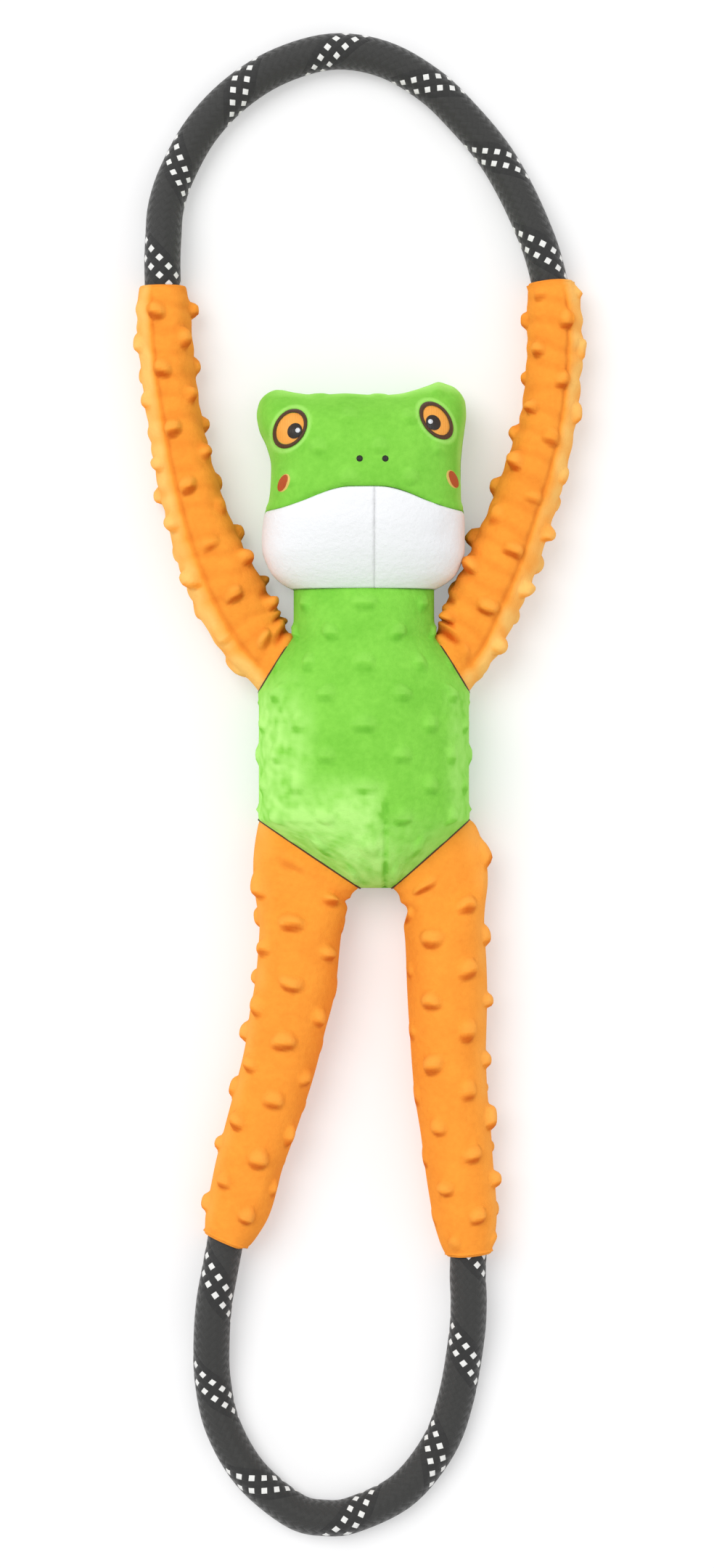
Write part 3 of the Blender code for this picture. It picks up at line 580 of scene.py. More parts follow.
def grid_panel(name, columns, rows, place):
    """A panel from a grid, each point put by place(across from -1 to 1, row)."""
    bm = bmesh.new()
    bmesh.ops.create_grid(bm, x_segments=columns, y_segments=rows, size=1)
    map_layer = bm.loops.layers.uv.new("map")
    for face in bm.faces:
        for loop in face.loops:
            loop[map_layer].uv = ((loop.vert.co.x + 1) / 2, (loop.vert.co.y + 1) / 2)
    for vertex in bm.verts:
        row = round((vertex.co.y + 1) / 2 * rows)
        vertex.co = place(vertex.co.x, row)
    bmesh.ops.recalc_face_normals(bm, faces=bm.faces)
    return built(name, bm)


def face_outwards(piece, centre):
    """Turns an open panel's faces away from the point given."""
    mesh = piece.data
    centre = Vector(centre)
    if sum((polygon.center - centre).dot(polygon.normal) * polygon.area for polygon in mesh.polygons) < 0:
        mesh.flip_normals()


def evened(shift, rest, edges, pinned, cap):
    """A simulated shift, held within a cap and a share of the cells' size, and evened out between seams."""
    starts, ends = edges.T
    edge_counts = np.maximum(np.bincount(edges.ravel(), minlength=len(rest)), 1)
    lengths = np.linalg.norm(rest[starts] - rest[ends], axis=1)
    cell = np.bincount(edges.ravel(), np.repeat(lengths, 2), len(rest)) / edge_counts
    far = np.linalg.norm(shift, axis=1)
    shift = shift * np.minimum(1, np.minimum(cap, swell_cell_shares * cell) / np.maximum(far, 1e-9))[:, None]
    sewn = np.isin(np.arange(len(rest)), list(pinned))[:, None]
    for _ in range(evening_rounds):
        beside = np.zeros_like(shift)
        np.add.at(beside, starts, shift[ends])
        np.add.at(beside, ends, shift[starts])
        shift = np.where(sewn, shift, (shift + beside / edge_counts[:, None]) / 2)
    return shift


def stuffed(piece, cap, growth, pinned, pressure=4.0):
    """Swells a piece as its filling does, by cloth simulation. The pinned points stay where they are sewn."""
    mesh = piece.data
    rest = np.array([vertex.co for vertex in mesh.vertices])
    seam = piece.vertex_groups.new(name="sewn")
    seam.add([int(k) for k in pinned], 1, "REPLACE")
    swell = piece.modifiers.new("filling", "CLOTH")
    cloth = swell.settings
    cloth.quality = 5
    cloth.mass = 0.2
    cloth.tension_stiffness = 12
    cloth.compression_stiffness = 8
    cloth.shear_stiffness = 5
    cloth.bending_stiffness = 0.3
    cloth.use_pressure = True
    cloth.uniform_pressure_force = pressure
    cloth.effector_weights.gravity = 0
    cloth.vertex_group_mass = "sewn"
    cloth.shrink_min = -growth
    swell.point_cache.frame_start = 1
    swell.point_cache.frame_end = swell_steps
    for step in range(1, swell_steps + 1):
        bpy.context.scene.frame_set(step)
    graph = bpy.context.evaluated_depsgraph_get()
    moved = np.array([vertex.co for vertex in piece.evaluated_get(graph).data.vertices])
    piece.modifiers.remove(swell)
    bpy.context.scene.frame_set(1)
    edges = np.array([edge.vertices[:] for edge in mesh.edges])
    settled = rest + evened(moved - rest, rest, edges, pinned, cap)
    settled[:, 2] = np.maximum(settled[:, 2], 0)
    mesh.vertices.foreach_set("co", settled.ravel())
    mesh.update()


def edge_points(mesh):
    """The points on the open edges of a mesh."""
    counts = {}
    for polygon in mesh.polygons:
        for key in polygon.edge_keys:
            counts[key] = counts.get(key, 0) + 1
    return sorted({point for key, count in counts.items() if count == 1 for point in key})


def smoothed(piece, levels):
    """The piece's mesh with its subdivision applied."""
    finer = piece.modifiers.new("finer", "SUBSURF")
    finer.levels = levels
    finer.render_levels = levels
    finer.boundary_smooth = "PRESERVE_CORNERS"
    graph = bpy.context.evaluated_depsgraph_get()
    fine = bpy.data.meshes.new_from_object(piece.evaluated_get(graph))
    piece.modifiers.remove(finer)
    fine.name = piece.data.name
    piece.data = fine
    piece.vertex_groups.clear()
    return fine


def raise_dots(mesh, height_at):
    """Moves each point out along its normal by a height, and stores its painted shade, which is painted
    highlight below 0.

    height_at(point, across, along) gives both, from its place in the toy and its place on the piece's map.
    """
    normals = [vertex.normal.copy() for vertex in mesh.vertices]
    places = {}
    for loop in mesh.loops:
        places.setdefault(loop.vertex_index, mesh.uv_layers["map"].data[loop.index].uv.copy())
    painted_shading = mesh.attributes.new("painted_shading", "FLOAT", "POINT")
    for vertex, normal in zip(mesh.vertices, normals):
        height, shade = height_at(vertex.co, *places[vertex.index])
        vertex.co = vertex.co + normal * height
        vertex.co.z = max(vertex.co.z, 0)
        painted_shading.data[vertex.index].value = shade
    mesh.update()


def dot_at(column, row, varied=0.0):
    """The rise of a plush dot and the shade at its foot, at a place on the lattice of dots.

    A column's dots are 1 apart, and every other column is half a row on.
    Varied, from 0 to 1, lowers some of the dots.
    """
    best, shade = 0, 0
    for k in (math.floor(column), math.floor(column) + 1):
        away_across = (column - k) * dot_column_gap
        shift = 0.5 * (k % 2)
        away_along = (row + shift - round(row + shift)) * dot_row_gap
        size = 1 - varied * noise.cell(Vector((k + 0.5, round(row + shift) + 0.5, 0.5)))
        off = math.hypot(away_across, away_along) / dot_radius
        if off < 1:
            best = max(best, (1 - off ** 3) * size)
        foot = math.hypot(away_across / dot_foot_half[0], (away_along + dot_foot_drop) / dot_foot_half[1])
        shade = max(shade, dot_foot_shade * max(0, 1 - foot) * size)
    return best, min(shade, 1)


def ramp(value, start, end):
    """A smooth rise from 0 at start to 1 at end."""
    share = min(max((value - start) / (end - start), 0), 1)
    return share * share * (3 - 2 * share)


def wall(piece):
    """Gives a piece the thickness of its cloth, inwards."""
    thick = piece.modifiers.new("cloth_wall", "SOLIDIFY")
    thick.thickness = plush_wall
    thick.offset = -1
    thick.use_rim = True
    piece.data.shade_smooth()


def seam_spread(top, bottom):
    """Places down the torso between two corners, spaced as the points round a limb are."""
    half = (bottom - top) / 2
    steps = seam_points // 2
    return [top + half - half * rounded(math.pi * k / steps, limb_roundness)[0] for k in range(steps + 1)]


torso_drops = sorted(set(
    list(np.linspace(0, shoulder_drop, 9)) + seam_spread(shoulder_drop, side_drop)
    + list(np.linspace(side_drop, hip_drop, 20)) + seam_spread(hip_drop, torso_length)
))
torso_drops = [d for k, d in enumerate(torso_drops) if k == 0 or d - torso_drops[k - 1] > 1e-7]
torso_pieces = []
for name, front in (("torso_front", True), ("torso_back", False)):

    def put_torso(across, row):
        drop = torso_drops[row]
        half = torso_half(drop)
        rise = eased(torso_rises, drop)
        x, z = panel_point(
            across, torso_middle(drop), half, half, rise, edge_height(drop), front, torso_roundness
        )
        return x, neck_y - drop, z

    piece = grid_panel(name, panel_columns, len(torso_drops) - 1, put_torso)
    face_outwards(piece, (middle_x, neck_y - torso_length / 2, seam_height))
    stuffed(piece, 0.002, 0.01, edge_points(piece.data))
    fine = smoothed(piece, 1)

    def torso_dots(point, across, along):
        share = 2 * across - 1
        drop = neck_y - point.y
        arc = panel_arc_share * (torso_half(drop) + eased(torso_rises, drop))
        at_arm = shoulder_drop - seam_margin < drop < side_drop + seam_margin
        at_leg = drop > hip_drop - seam_margin
        clear = min(1, (1 - abs(share)) * arc / seam_clear) if at_arm or at_leg else 1
        clear *= min(1, max(drop, 0) / neck_clear)
        if not front and point.z < on_floor:
            clear = 0
        rise, shade = dot_at(share * arc / dot_column_gap, point.y / dot_row_gap)
        height = rise * torso_dot_rise * clear
        # Painted shade at each dot's foot and painted highlight on its top.
        shade = (shade * torso_foot_shade - rise * torso_dot_highlight) * clear
        if not front:
            return height, shade
        # Painted highlight: the left side, the belly left of the dart, the pointed end and the right rim are
        # paled in patches.
        ruffle = 0.75 + 0.7 * sum(noise.noise(point * scale) for scale in highlight_scales)
        patch_highlight = max(
            strength * ramp(point.x, *fades_across) * ramp(point.y, *fades_down)
            for strength, fades_across, fades_down in highlight_patches
        )
        shade -= patch_highlight * ruffle
        if point.y < dart_top_y:
            off = abs(point.x - dart_x) / dart_half_width
            if off < 1:
                deep = (1 - off) * min(1, (dart_top_y - point.y) / dart_run_in)
                height -= dart_depth * deep
                shade += dart_shade * deep
        return height, min(max(shade, -1), 1)

    raise_dots(fine, torso_dots)
    wall(piece)
    piece.data.materials.clear()
    piece.data.materials.append(green_plush)
    torso_pieces.append(piece)
    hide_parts(f"{name}_panel")

# Head: a green face and back and a white chin in two halves, sewn and stuffed. It nods on the neck's
# soft seam. Its top corners stand up round the eyes.
head_length = 0.0855
head_roundness = 0.77
head_rises = (
    (0, 0.0200), (0.004, 0.0240), (0.010, 0.0290), (0.018, 0.0340), (0.030, 0.0385), (0.043, 0.0400),
    (0.056, 0.0390), (0.068, 0.0345), (0.075, 0.0290), (0.080, 0.0215), (0.0835, 0.0130), (0.0855, 0.0003),
)
head_lefts = (
    (0, -0.0275), (0.0025, -0.0322), (0.0075, -0.0368), (0.017, -0.0402), (0.030, -0.0395),
    (0.0335, -0.0386), (0.036, -0.0374), (0.051, -0.0364), (0.060, -0.0385), (0.0665, -0.0414),
    (0.073, -0.0424), (0.079, -0.0415), (0.0825, -0.0395), (0.0845, -0.0365), (0.0855, -0.0320),
)
head_rights = (
    (0, 0.0310), (0.0025, 0.0355), (0.0065, 0.0400), (0.016, 0.0433), (0.030, 0.0432),
    (0.0335, 0.0428), (0.036, 0.0418), (0.051, 0.0416), (0.060, 0.0424), (0.067, 0.0434),
    (0.073, 0.0440), (0.079, 0.0436), (0.0825, 0.0422), (0.0845, 0.0395), (0.0855, 0.0350),
)
crown_rises = (
    (-0.0420, -0.0035), (-0.0345, -0.0024), (-0.0270, -0.0040), (-0.0185, -0.0052), (-0.0060, -0.0043),
    (0.0090, -0.0052), (0.0180, -0.0044), (0.0240, -0.0026), (0.0322, 0.0002), (0.0385, -0.0008),
    (0.0430, -0.0030),
)
chin_side_up = 0.0319
chin_middle_up = 0.0404
chin_seam_x = 0.0062
chin_peak_x = 0.002
chin_slope_reach = (0.006, 0.040)
head_rows = 60
eye_places = ((-0.0284, 0.1450, -31, (0.0065, 0.0087)), (0.0313, 0.1484, 36, (0.0058, 0.0089)))
seam_sink = 0.0008
seam_sink_width = 0.0022
chin_seam_share = 0.3
chin_sink_share = 0.5
chin_seam_shade = 0.04
face_seam_shade = 0.3
crown_lift_share = 0.62
row_bunching = 1.35
head_dot_share = 0.6
face_dot_half_width = 0.036
face_dot_fade = 0.006
face_foot_shade = 0.2
face_dot_highlight = 0.08
# Painted highlight on the face's sides and top, stronger on its right side, broken up by noise.
side_rim_shares = (0.70, 0.95)
top_rim_shares = (0.80, 0.97)
left_rim_highlight = 0.5
right_rim_highlight = 0.9
rim_scale = 110
eye_halo_paleness = 0.6
eye_halo_size = 1.12
eye_halo_width = 0.16


def head_point(across, up, front, span=(-1, 1)):
    """A point on the head at a height above the neck, across part of the panel's width."""
    left, right = eased(head_lefts, up), eased(head_rights, up)
    middle = (left + right) / 2
    half = (right - left) / 2
    rise = eased(head_rises, up)
    low, high = span
    share = low + (high - low) * (across + 1) / 2
    x, z = panel_point(share, middle, half, half, rise, open_height, front, head_roundness)
    lifted = min(max((up / head_length - crown_lift_share) / (1 - crown_lift_share), 0), 1)
    crown_rise = float(np.interp(x, *zip(*crown_rises)))
    return Vector((x, neck_y + up + crown_rise * lifted * lifted, z))


def chin_up(x):
    """The height of the chin's upper seam above the neck."""
    return chin_middle_up + (chin_side_up - chin_middle_up) * ramp(abs(x - chin_peak_x), *chin_slope_reach)


def share_at(x, up):
    """The place across a panel, from -1 to 1, of a point x across the head."""
    left, right = eased(head_lefts, up), eased(head_rights, up)
    wide = (x - (left + right) / 2) / ((right - left) / 2)
    wide = min(max(wide, -1), 1)
    angle = math.acos(math.copysign(abs(wide) ** (1 / head_roundness), wide))
    return 1 - angle / (math.pi / 2)


def put_face(across, row):
    """A point on the face, from the chin's seam up to the crown."""
    t = row / head_rows
    start = chin_up(head_point(across, chin_side_up, True).x)
    up = start + (head_length - start) * (1 - (1 - t) ** row_bunching)
    return head_point(across, up, True)


def put_back(across, row):
    """A point on the back of the head."""
    t = row / head_rows
    return head_point(across, head_length * (1 - (1 - t) ** row_bunching), False)


def put_chin(across, row, right):
    """A point on the left or the right half of the chin."""

    def on_half(up):
        seam_share = share_at(chin_seam_x, up)
        return head_point(across, up, True, (seam_share, 1) if right else (-1, seam_share))

    up = chin_side_up * row / (head_rows // 2)
    stretch = chin_up(on_half(up).x) / chin_side_up
    return on_half(up * stretch)


def put_left_chin(across, row):
    return put_chin(across, row, False)


def put_right_chin(across, row):
    return put_chin(across, row, True)


head_pieces = {}
for name, place, rows, columns, finish, node_name, slot_name in (
    ("face", put_face, head_rows, 64, green_plush, "face_panel", "green_plush"),
    ("left_chin", put_left_chin, head_rows // 2, 36, white_plush, "left_chin_panel", "white_plush"),
    ("right_chin", put_right_chin, head_rows // 2, 30, white_plush, "right_chin_panel", "white_plush"),
    ("head_back", put_back, head_rows, 64, green_plush, "head_back_panel", "green_plush"),
):
    piece = grid_panel(name, columns, rows, place)
    face_outwards(piece, (middle_x, neck_y + head_length / 2, seam_height))
    stuffed(piece, 0.0015, 0.008, edge_points(piece.data))
    fine = smoothed(piece, 1)

    def head_dots(point, across, along):
        sunk = 0
        if name != "head_back":
            sunk = max(0, 1 - abs(point.y - neck_y - chin_up(point.x)) / seam_sink_width) ** 2
            if "chin" in name:
                beside = max(0, 1 - abs(point.x - chin_seam_x) / seam_sink_width) ** 2
                sunk = max(sunk, chin_seam_share * beside)
        if "chin" in name or point.z < on_floor:
            return -chin_sink_share * seam_sink * sunk, chin_seam_shade * sunk
        rise, shade = dot_at((point.x - middle_x) / dot_column_gap + 0.5, point.y / dot_row_gap)
        inner = min(1, max(0, (face_dot_half_width - abs(point.x - middle_x)) / face_dot_fade))
        height = rise * torso_dot_rise * head_dot_share * inner - seam_sink * sunk
        # Painted shade at each dot's foot and in the seam's groove, and painted highlight on each dot's top.
        shade = (shade * face_foot_shade - rise * face_dot_highlight) * inner + face_seam_shade * sunk
        if name == "face":
            # Painted highlight on the face's sides and top.
            rim = max(ramp(abs(2 * across - 1), *side_rim_shares), ramp(along, *top_rim_shares))
            paleness = right_rim_highlight if across > 0.5 else left_rim_highlight
            shade -= rim * (paleness + 0.4 * noise.noise(point * rim_scale))
            for x, y, tilt, half in eye_places:
                turned = Matrix.Rotation(math.radians(-tilt), 2) @ Vector((point.x - x, point.y - y))
                beyond = math.hypot(turned.x / half[0], turned.y / half[1])
                shade -= eye_halo_paleness * max(0, 1 - abs(beyond - eye_halo_size) / eye_halo_width)
        return height, min(max(shade, -1), 1)

    raise_dots(fine, head_dots)
    wall(piece)
    piece.data.materials.clear()
    piece.data.materials.append(finish)
    head_pieces[name] = piece
    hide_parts(node_name)

for piece in torso_pieces + list(head_pieces.values()):
    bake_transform(piece)

# Stuffing: white polyester fibre, packed into the head and the sleeves. It shows nowhere unless a seam opens.
head_stuffing_share = 0.9
fluff_colour = (0.82, 0.82, 0.78, 1)
fluff_shadow = (0.62, 0.62, 0.58, 1)

filling_fluff, tree, shader = new_finish("filling_fluff", 1)
node, _ = node_tools(tree)
fluff = node("ShaderNodeTexNoise")
fluff.inputs["Scale"].default_value = 300
fluff.inputs["Detail"].default_value = 5
where = node("ShaderNodeTexCoord")
tree.links.new(where.outputs["Object"], fluff.inputs["Vector"])
tree.links.new(mix_colour(tree, fluff.outputs[0], fluff_colour, fluff_shadow), shader.inputs["Base Color"])
fluff_bump = node("ShaderNodeBump")
fluff_bump.inputs["Distance"].default_value = 0.001
tree.links.new(fluff.outputs[0], fluff_bump.inputs["Height"])
tree.links.new(fluff_bump.outputs[0], shader.inputs["Normal"])

bm = bmesh.new()
bm.from_mesh(frame["nodes"]["head_filling"].data)
bmesh.ops.remove_doubles(bm, verts=bm.verts, dist=0.00001)
bmesh.ops.translate(bm, verts=bm.verts, vec=(-middle_x, -neck_y, -seam_height))
bmesh.ops.scale(bm, verts=bm.verts, vec=[head_stuffing_share] * 3)
bmesh.ops.translate(bm, verts=bm.verts, vec=(middle_x, neck_y, seam_height))
bmesh.ops.recalc_face_normals(bm, faces=bm.faces)
head_stuffing = built("head_stuffing", bm)
head_stuffing.data.shade_smooth()
head_stuffing.data.materials.append(filling_fluff)
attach(head_stuffing, "head")
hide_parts("head_filling")

# Eyes, nostrils and cheek marks: flat satin stitching on the face, in shiny thread.
# Each eye is a dark ring round an orange iris, with a black pupil and a white glint.
outline_width = 0.0013
iris_lap_share = 0.07
pupil_half = (0.0029, 0.0033)
pupil_shift = ((0.0020, -0.0012), (-0.0013, -0.0011))
glint_radius = 0.0010
glint_shift = ((0.0013, 0.0001), (-0.0012, 0.0003))
nostril_places = ((0.0, 0.1320), (0.0104, 0.1320))
nostril_radius = 0.0013
cheek_places = ((-0.0309, 0.1229, -24, 1), (0.0380, 0.1247, 24, -1))
cheek_half = (0.0025, 0.0041)
cheek_mark_half = (0.0018, 0.0035)
cheek_mark_shift = 0.0005
stitch_rise = 0.0006
ring_lift = 0.0006
iris_lift = 0.0001
pupil_lift = 0.0007
disc_points = 40
disc_rings = 8

stitching = shared_effect("satin_stitch", ("Thread", "Shadow"), ())
node, calc = node_tools(stitching)
given = node("NodeGroupInput")
result = node("NodeGroupOutput")
where = node("ShaderNodeTexCoord")
threads = node("ShaderNodeTexWave")
threads.inputs["Scale"].default_value = 620
threads.inputs["Distortion"].default_value = 1.2
threads.inputs["Detail"].default_value = 1
stitching.links.new(where.outputs["Object"], threads.inputs["Vector"])
between = calc("MULTIPLY", threads.outputs["Fac"], 0.45)
thread_colour = mix_colour(stitching, between, given.outputs["Thread"], given.outputs["Shadow"])
stitching.links.new(thread_colour, result.inputs["Colour"])
ridges = node("ShaderNodeBump")
ridges.inputs["Strength"].default_value = 0.5
ridges.inputs["Distance"].default_value = 0.0003
stitching.links.new(threads.outputs["Fac"], ridges.inputs["Height"])
stitching.links.new(ridges.outputs[0], result.inputs["Normal"])


def thread_finish(name, colour, shadow, roughness):
    """Satin stitching in thread of one colour, darker between the threads."""
    made, tree, shader = new_finish(name, roughness)
    use_effect(tree, shader, stitching, Thread=colour, Shadow=shadow)
    return made


orange_stitch = thread_finish("orange_stitch", (1.0, 0.45, 0.07, 1), (0.90, 0.28, 0.025, 1), 0.5)
brown_stitch = thread_finish("brown_stitch", (0.085, 0.032, 0.010, 1), (0.035, 0.012, 0.005, 1), 0.55)
black_stitch = thread_finish("black_stitch", (0.018, 0.014, 0.012, 1), (0.006, 0.005, 0.004, 1), 0.45)
white_stitch = thread_finish("white_stitch", (0.85, 0.88, 0.92, 1), (0.60, 0.62, 0.68, 1), 0.4)
yellow_stitch = thread_finish("yellow_stitch", (0.85, 0.62, 0.16, 1), (0.60, 0.36, 0.06, 1), 0.5)
red_stitch = thread_finish("red_stitch", (0.55, 0.085, 0.012, 1), (0.30, 0.035, 0.006, 1), 0.5)

bpy.context.view_layer.update()
face_tree = BVHTree.FromObject(head_pieces["face"], bpy.context.evaluated_depsgraph_get())


def stitched(name, x, y, half, tilt_deg, lift, finish, node_name, hole=0.0):
    """An oval of stitching on the face, domed a little, with an oval hole where one is asked for."""
    tilt = math.radians(tilt_deg)
    bm = bmesh.new()
    rim = bmesh.ops.create_circle(bm, segments=disc_points, radius=1)["verts"]
    edges = list(bm.edges)
    inner = list(rim)
    for step in range(1, disc_rings + 1):
        made = bmesh.ops.extrude_edge_only(bm, edges=edges)["geom"]
        edges = [item for item in made if isinstance(item, bmesh.types.BMEdge)]
        inner = [item for item in made if isinstance(item, bmesh.types.BMVert)]
        size = 1 - (1 - hole) * step / disc_rings
        for vertex in inner:
            vertex.co = vertex.co.normalized() * max(size, 0.01)
    if not hole:
        bmesh.ops.pointmerge(bm, verts=inner, merge_co=(0, 0, 0))
    for vertex in bm.verts:
        out = vertex.co.length
        wide, high = vertex.co.x * half[0], vertex.co.y * half[1]
        px = x + wide * math.cos(tilt) - high * math.sin(tilt)
        py = y + wide * math.sin(tilt) + high * math.cos(tilt)
        spread = (1 + hole) / 2
        dome = 1 - ((out - spread * bool(hole)) / ((1 - hole) / (1 + bool(hole)))) ** 2
        hit = face_tree.ray_cast(Vector((px, py, 0.1)), Vector((0, 0, -1)))[0]
        vertex.co = (px, py, hit.z + lift + stitch_rise * (max(dome, 0) - 0.3))
    bmesh.ops.recalc_face_normals(bm, faces=bm.faces)
    piece = built(name, bm)
    if sum(polygon.normal.z for polygon in piece.data.polygons) < 0:
        piece.data.flip_normals()
    piece.data.shade_smooth()
    piece.data.materials.append(finish)
    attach(piece, "head")
    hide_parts(node_name)
    return piece


for side, (x, y, tilt, half), shift, shine in zip(("left", "right"), eye_places, pupil_shift, glint_shift):
    rim_share = 1 - outline_width / half[0]
    stitched(
        f"{side}_eye_ring", x, y, half, tilt, ring_lift, brown_stitch,
        f"{side}_eye_outline", rim_share,
    )
    iris_half = (half[0] * (rim_share + iris_lap_share), half[1] * (rim_share + iris_lap_share))
    stitched(
        f"{side}_eye_iris", x, y, iris_half, tilt, iris_lift, orange_stitch,
        f"{side}_iris",
    )
    px, py = x + shift[0], y + shift[1]
    stitched(
        f"{side}_eye_pupil", px, py, pupil_half, tilt, pupil_lift, black_stitch,
        f"{side}_pupil",
    )
    gx, gy = px + shine[0], py + shine[1]
    stitched(
        f"{side}_eye_glint", gx, gy, (glint_radius, glint_radius), 0, 0.0013, white_stitch,
        f"{side}_eye_highlight",
    )
for side, (x, y) in zip(("left", "right"), nostril_places):
    stitched(
        f"{side}_nose_stitch", x, y, (nostril_radius, nostril_radius), 0, 0.0003, black_stitch,
        f"{side}_nostril",
    )
for side, (x, y, tilt, toward) in zip(("left", "right"), cheek_places):
    mark = f"{side}_cheek_mark"
    mark_x = x - toward * cheek_mark_shift
    stitched(f"{side}_cheek_edge", x, y, cheek_half, tilt, 0.0001, yellow_stitch, mark)
    stitched(
        f"{side}_cheek_stitch", mark_x, y, cheek_mark_half, tilt, 0.0005, red_stitch,
        mark,
    )

# Arms and legs: orange dotted plush sewn into a sleeve, bunched on the rope, with a lengthwise seam.
# Each is sewn to the torso at a slanted seam and turned in at its mouth, where the rope comes out.
limb_turns = 48
limb_stations = 84
limb_turn_share = 0.13
limb_step = 0.001
mouth_stations = 6
mouth_turns_in = ((0.997, 0.35), (0.990, 0.75), (0.978, 1), (0.960, 1))
mouth_radius = 0.0091
mouth_roll = 0.0082
arm_half_width = 0.0142
leg_half_width = 0.0203
dot_rise = 0.0030
seam_groove = 0.0008
limb_cap = 0.0022
limb_pressure = 3.0
corner_start_share = 0.015
corner_end_shares = (0.02, 0.14)
# Painted highlight on the outward side of the arms and of the legs, in patches.
arm_side_highlight = 1.9
arm_highlight_angles = (22, 50)
leg_side_highlight = 0.45
leg_highlight_angles = (30, 75)
leg_smooth_share = 0.8
leg_smooth_angles = (50, 72)
limb_foot_shade = 0.85
limb_dot_highlight = 0.12
limb_seam_shade = 0.35
dot_stray = 0.10
arm_dot_variety = 0.5
leg_dot_variety = 0.2
arm_column_degrees = 55
leg_column_degrees = 50
seam_half_degrees = 9
root_fade = 0.012
mouth_fade = 0.010
gather_run = 0.0095
gather_rise = 0.0004
gather_stray = 3
gather_shade = 0.16
fold_half_width = 0.0016
fold_ridge_away = 2.4
fold_ridge_share = 0.45
fold_shade = 0.9
fold_full_depth = 0.002
seam_lap = 0.0008
stuffing_inset = 0.0045
stuffing_stations = 41
stuffing_start_share = 0.04
stuffing_run_share = 0.9
# Painted shade along each limb's seam with the torso: a thin dark brown strip that stands for the shade in
# the seam's groove.
seam_shade_line = 0.00045
seam_shade_line_stations = 61
tuck_depth = 0.0042
tuck_start = 0.0025
stuffing_tuck_share = 1.2
tuck_ends = {"left_leg": 0.0095, "right_leg": 0.0180}
arm_tables = (
    ((0, 1), (0.1, 1), (0.27, 1), (0.4, 0.92), (0.55, 0.87), (0.7, 0.8), (0.92, 0.79), (0.97, 0.72),
     (1, 0.64)),
    ((0, 0.8), (0.08, 0.8), (0.25, 0.95), (1, 1)),
    ((0, 1), (0.3, 0.86), (0.6, 0.78), (0.9, 0.74), (1, 0.72)),
)
leg_tables = (
    ((0, 1.1), (0.1, 1), (0.2, 0.89), (0.35, 0.86), (0.5, 0.79), (0.6, 0.76), (0.75, 0.71), (0.9, 0.65),
     (0.96, 0.56), (1, 0.445)),
    ((0, 0.55), (0.1, 0.58), (0.22, 0.85), (0.5, 0.9), (0.9, 0.97), (1, 1)),
    ((0, 1), (0.5, 0.9), (0.85, 0.78), (1, 0.72)),
)
left_arm_route = (
    (-0.0089, 0.0113), (-0.0182, 0.0263), (-0.0251, 0.0413), (-0.0308, 0.0563), (-0.0350, 0.0713),
    (-0.0386, 0.0863), (-0.0416, 0.1013), (-0.0440, 0.1163), (-0.0456, 0.1313), (-0.0467, 0.1463),
    (-0.0471, 0.1586),
)
right_arm_route = (
    (0.0069, 0.0107), (0.0138, 0.0257), (0.0204, 0.0407), (0.0264, 0.0557), (0.0315, 0.0707),
    (0.0360, 0.0857), (0.0396, 0.1007), (0.0417, 0.1157), (0.0426, 0.1307), (0.0425, 0.1457),
    (0.0410, 0.1589),
)
left_leg_route = (
    (-0.0029, -0.0165), (-0.0047, -0.0315), (-0.0068, -0.0540), (-0.0098, -0.0690), (-0.0125, -0.0840),
    (-0.0164, -0.0990), (-0.0207, -0.1140), (-0.0250, -0.1290), (-0.0287, -0.1440), (-0.0325, -0.1545),
    (-0.0352, -0.1608),
)
right_leg_route = (
    (0.0039, -0.0165), (0.0063, -0.0315), (0.0072, -0.0540), (0.0075, -0.0690), (0.0078, -0.0840),
    (0.0087, -0.0990), (0.0105, -0.1140), (0.0120, -0.1290), (0.0138, -0.1440), (0.0151, -0.1575),
    (0.0161, -0.1665),
)


class LimbCourse:
    """A limb's sections along its run, from its seam with the torso to its mouth."""

    def __init__(self, inner, outer, route, half_width, tables):
        inner, outer = np.array(inner), np.array(outer)
        middle = (inner + outer) / 2
        self.half_width = half_width
        self.tables = tables
        self.seam_half = np.linalg.norm(outer - inner) / 2
        self.seam_across = (outer - inner) / (2 * self.seam_half)
        through = [(*middle, 0)] + [(*(middle + offset), 0) for offset in route]
        self.line, self.runs = smooth_route(through, limb_step)
        self.ahead = np.gradient(self.line[:, :2], axis=0)
        self.ahead = self.ahead / np.linalg.norm(self.ahead, axis=1)[:, None]

    def at(self, share):
        """The centre, the direction across, the half width, the rise and the depth at a share of the run."""
        run = share * self.runs[-1]
        centre = [np.interp(run, self.runs, self.line[:, k]) for k in (0, 1)]
        ahead = [np.interp(run, self.runs, self.ahead[:, k]) for k in (0, 1)]
        square = np.array((-ahead[1], ahead[0]))
        square = square / np.linalg.norm(square)
        square *= math.copysign(1, square @ self.seam_across)
        turn = ramp(share, 0, limb_turn_share)
        across = self.seam_across * (1 - turn) + square * turn
        across = across / np.linalg.norm(across)
        widths, rises, heights = self.tables
        usual = self.half_width * eased(widths, share)
        height = seam_height * eased(heights, share)
        rise = usual * eased(rises, share)
        side = self.seam_half * (1 - turn) + usual * turn
        return Vector((*centre, height)), Vector((*across, 0)), side, rise, min(rise, height)


shoulder_y = neck_y - shoulder_drop
tip_y = neck_y - torso_length

# Each limb's body, side, way out, route, width and tables, then how much its cloth grows, how far its mouth
# stands back and how far its outer corner stands out.
limbs = (
    ("left_arm", "arms", -1, 1, left_arm_route, arm_half_width, arm_tables, 0.030, 0.0024, 0),
    ("right_arm", "arms", 1, 1, right_arm_route, arm_half_width, arm_tables, 0.030, 0, 0),
    ("left_leg", "legs", -1, -1, left_leg_route, leg_half_width, leg_tables, 0.010, 0.0035, 0),
    ("right_leg", "legs", 1, -1, right_leg_route, leg_half_width, leg_tables, 0.010, 0, 0.0022),
)

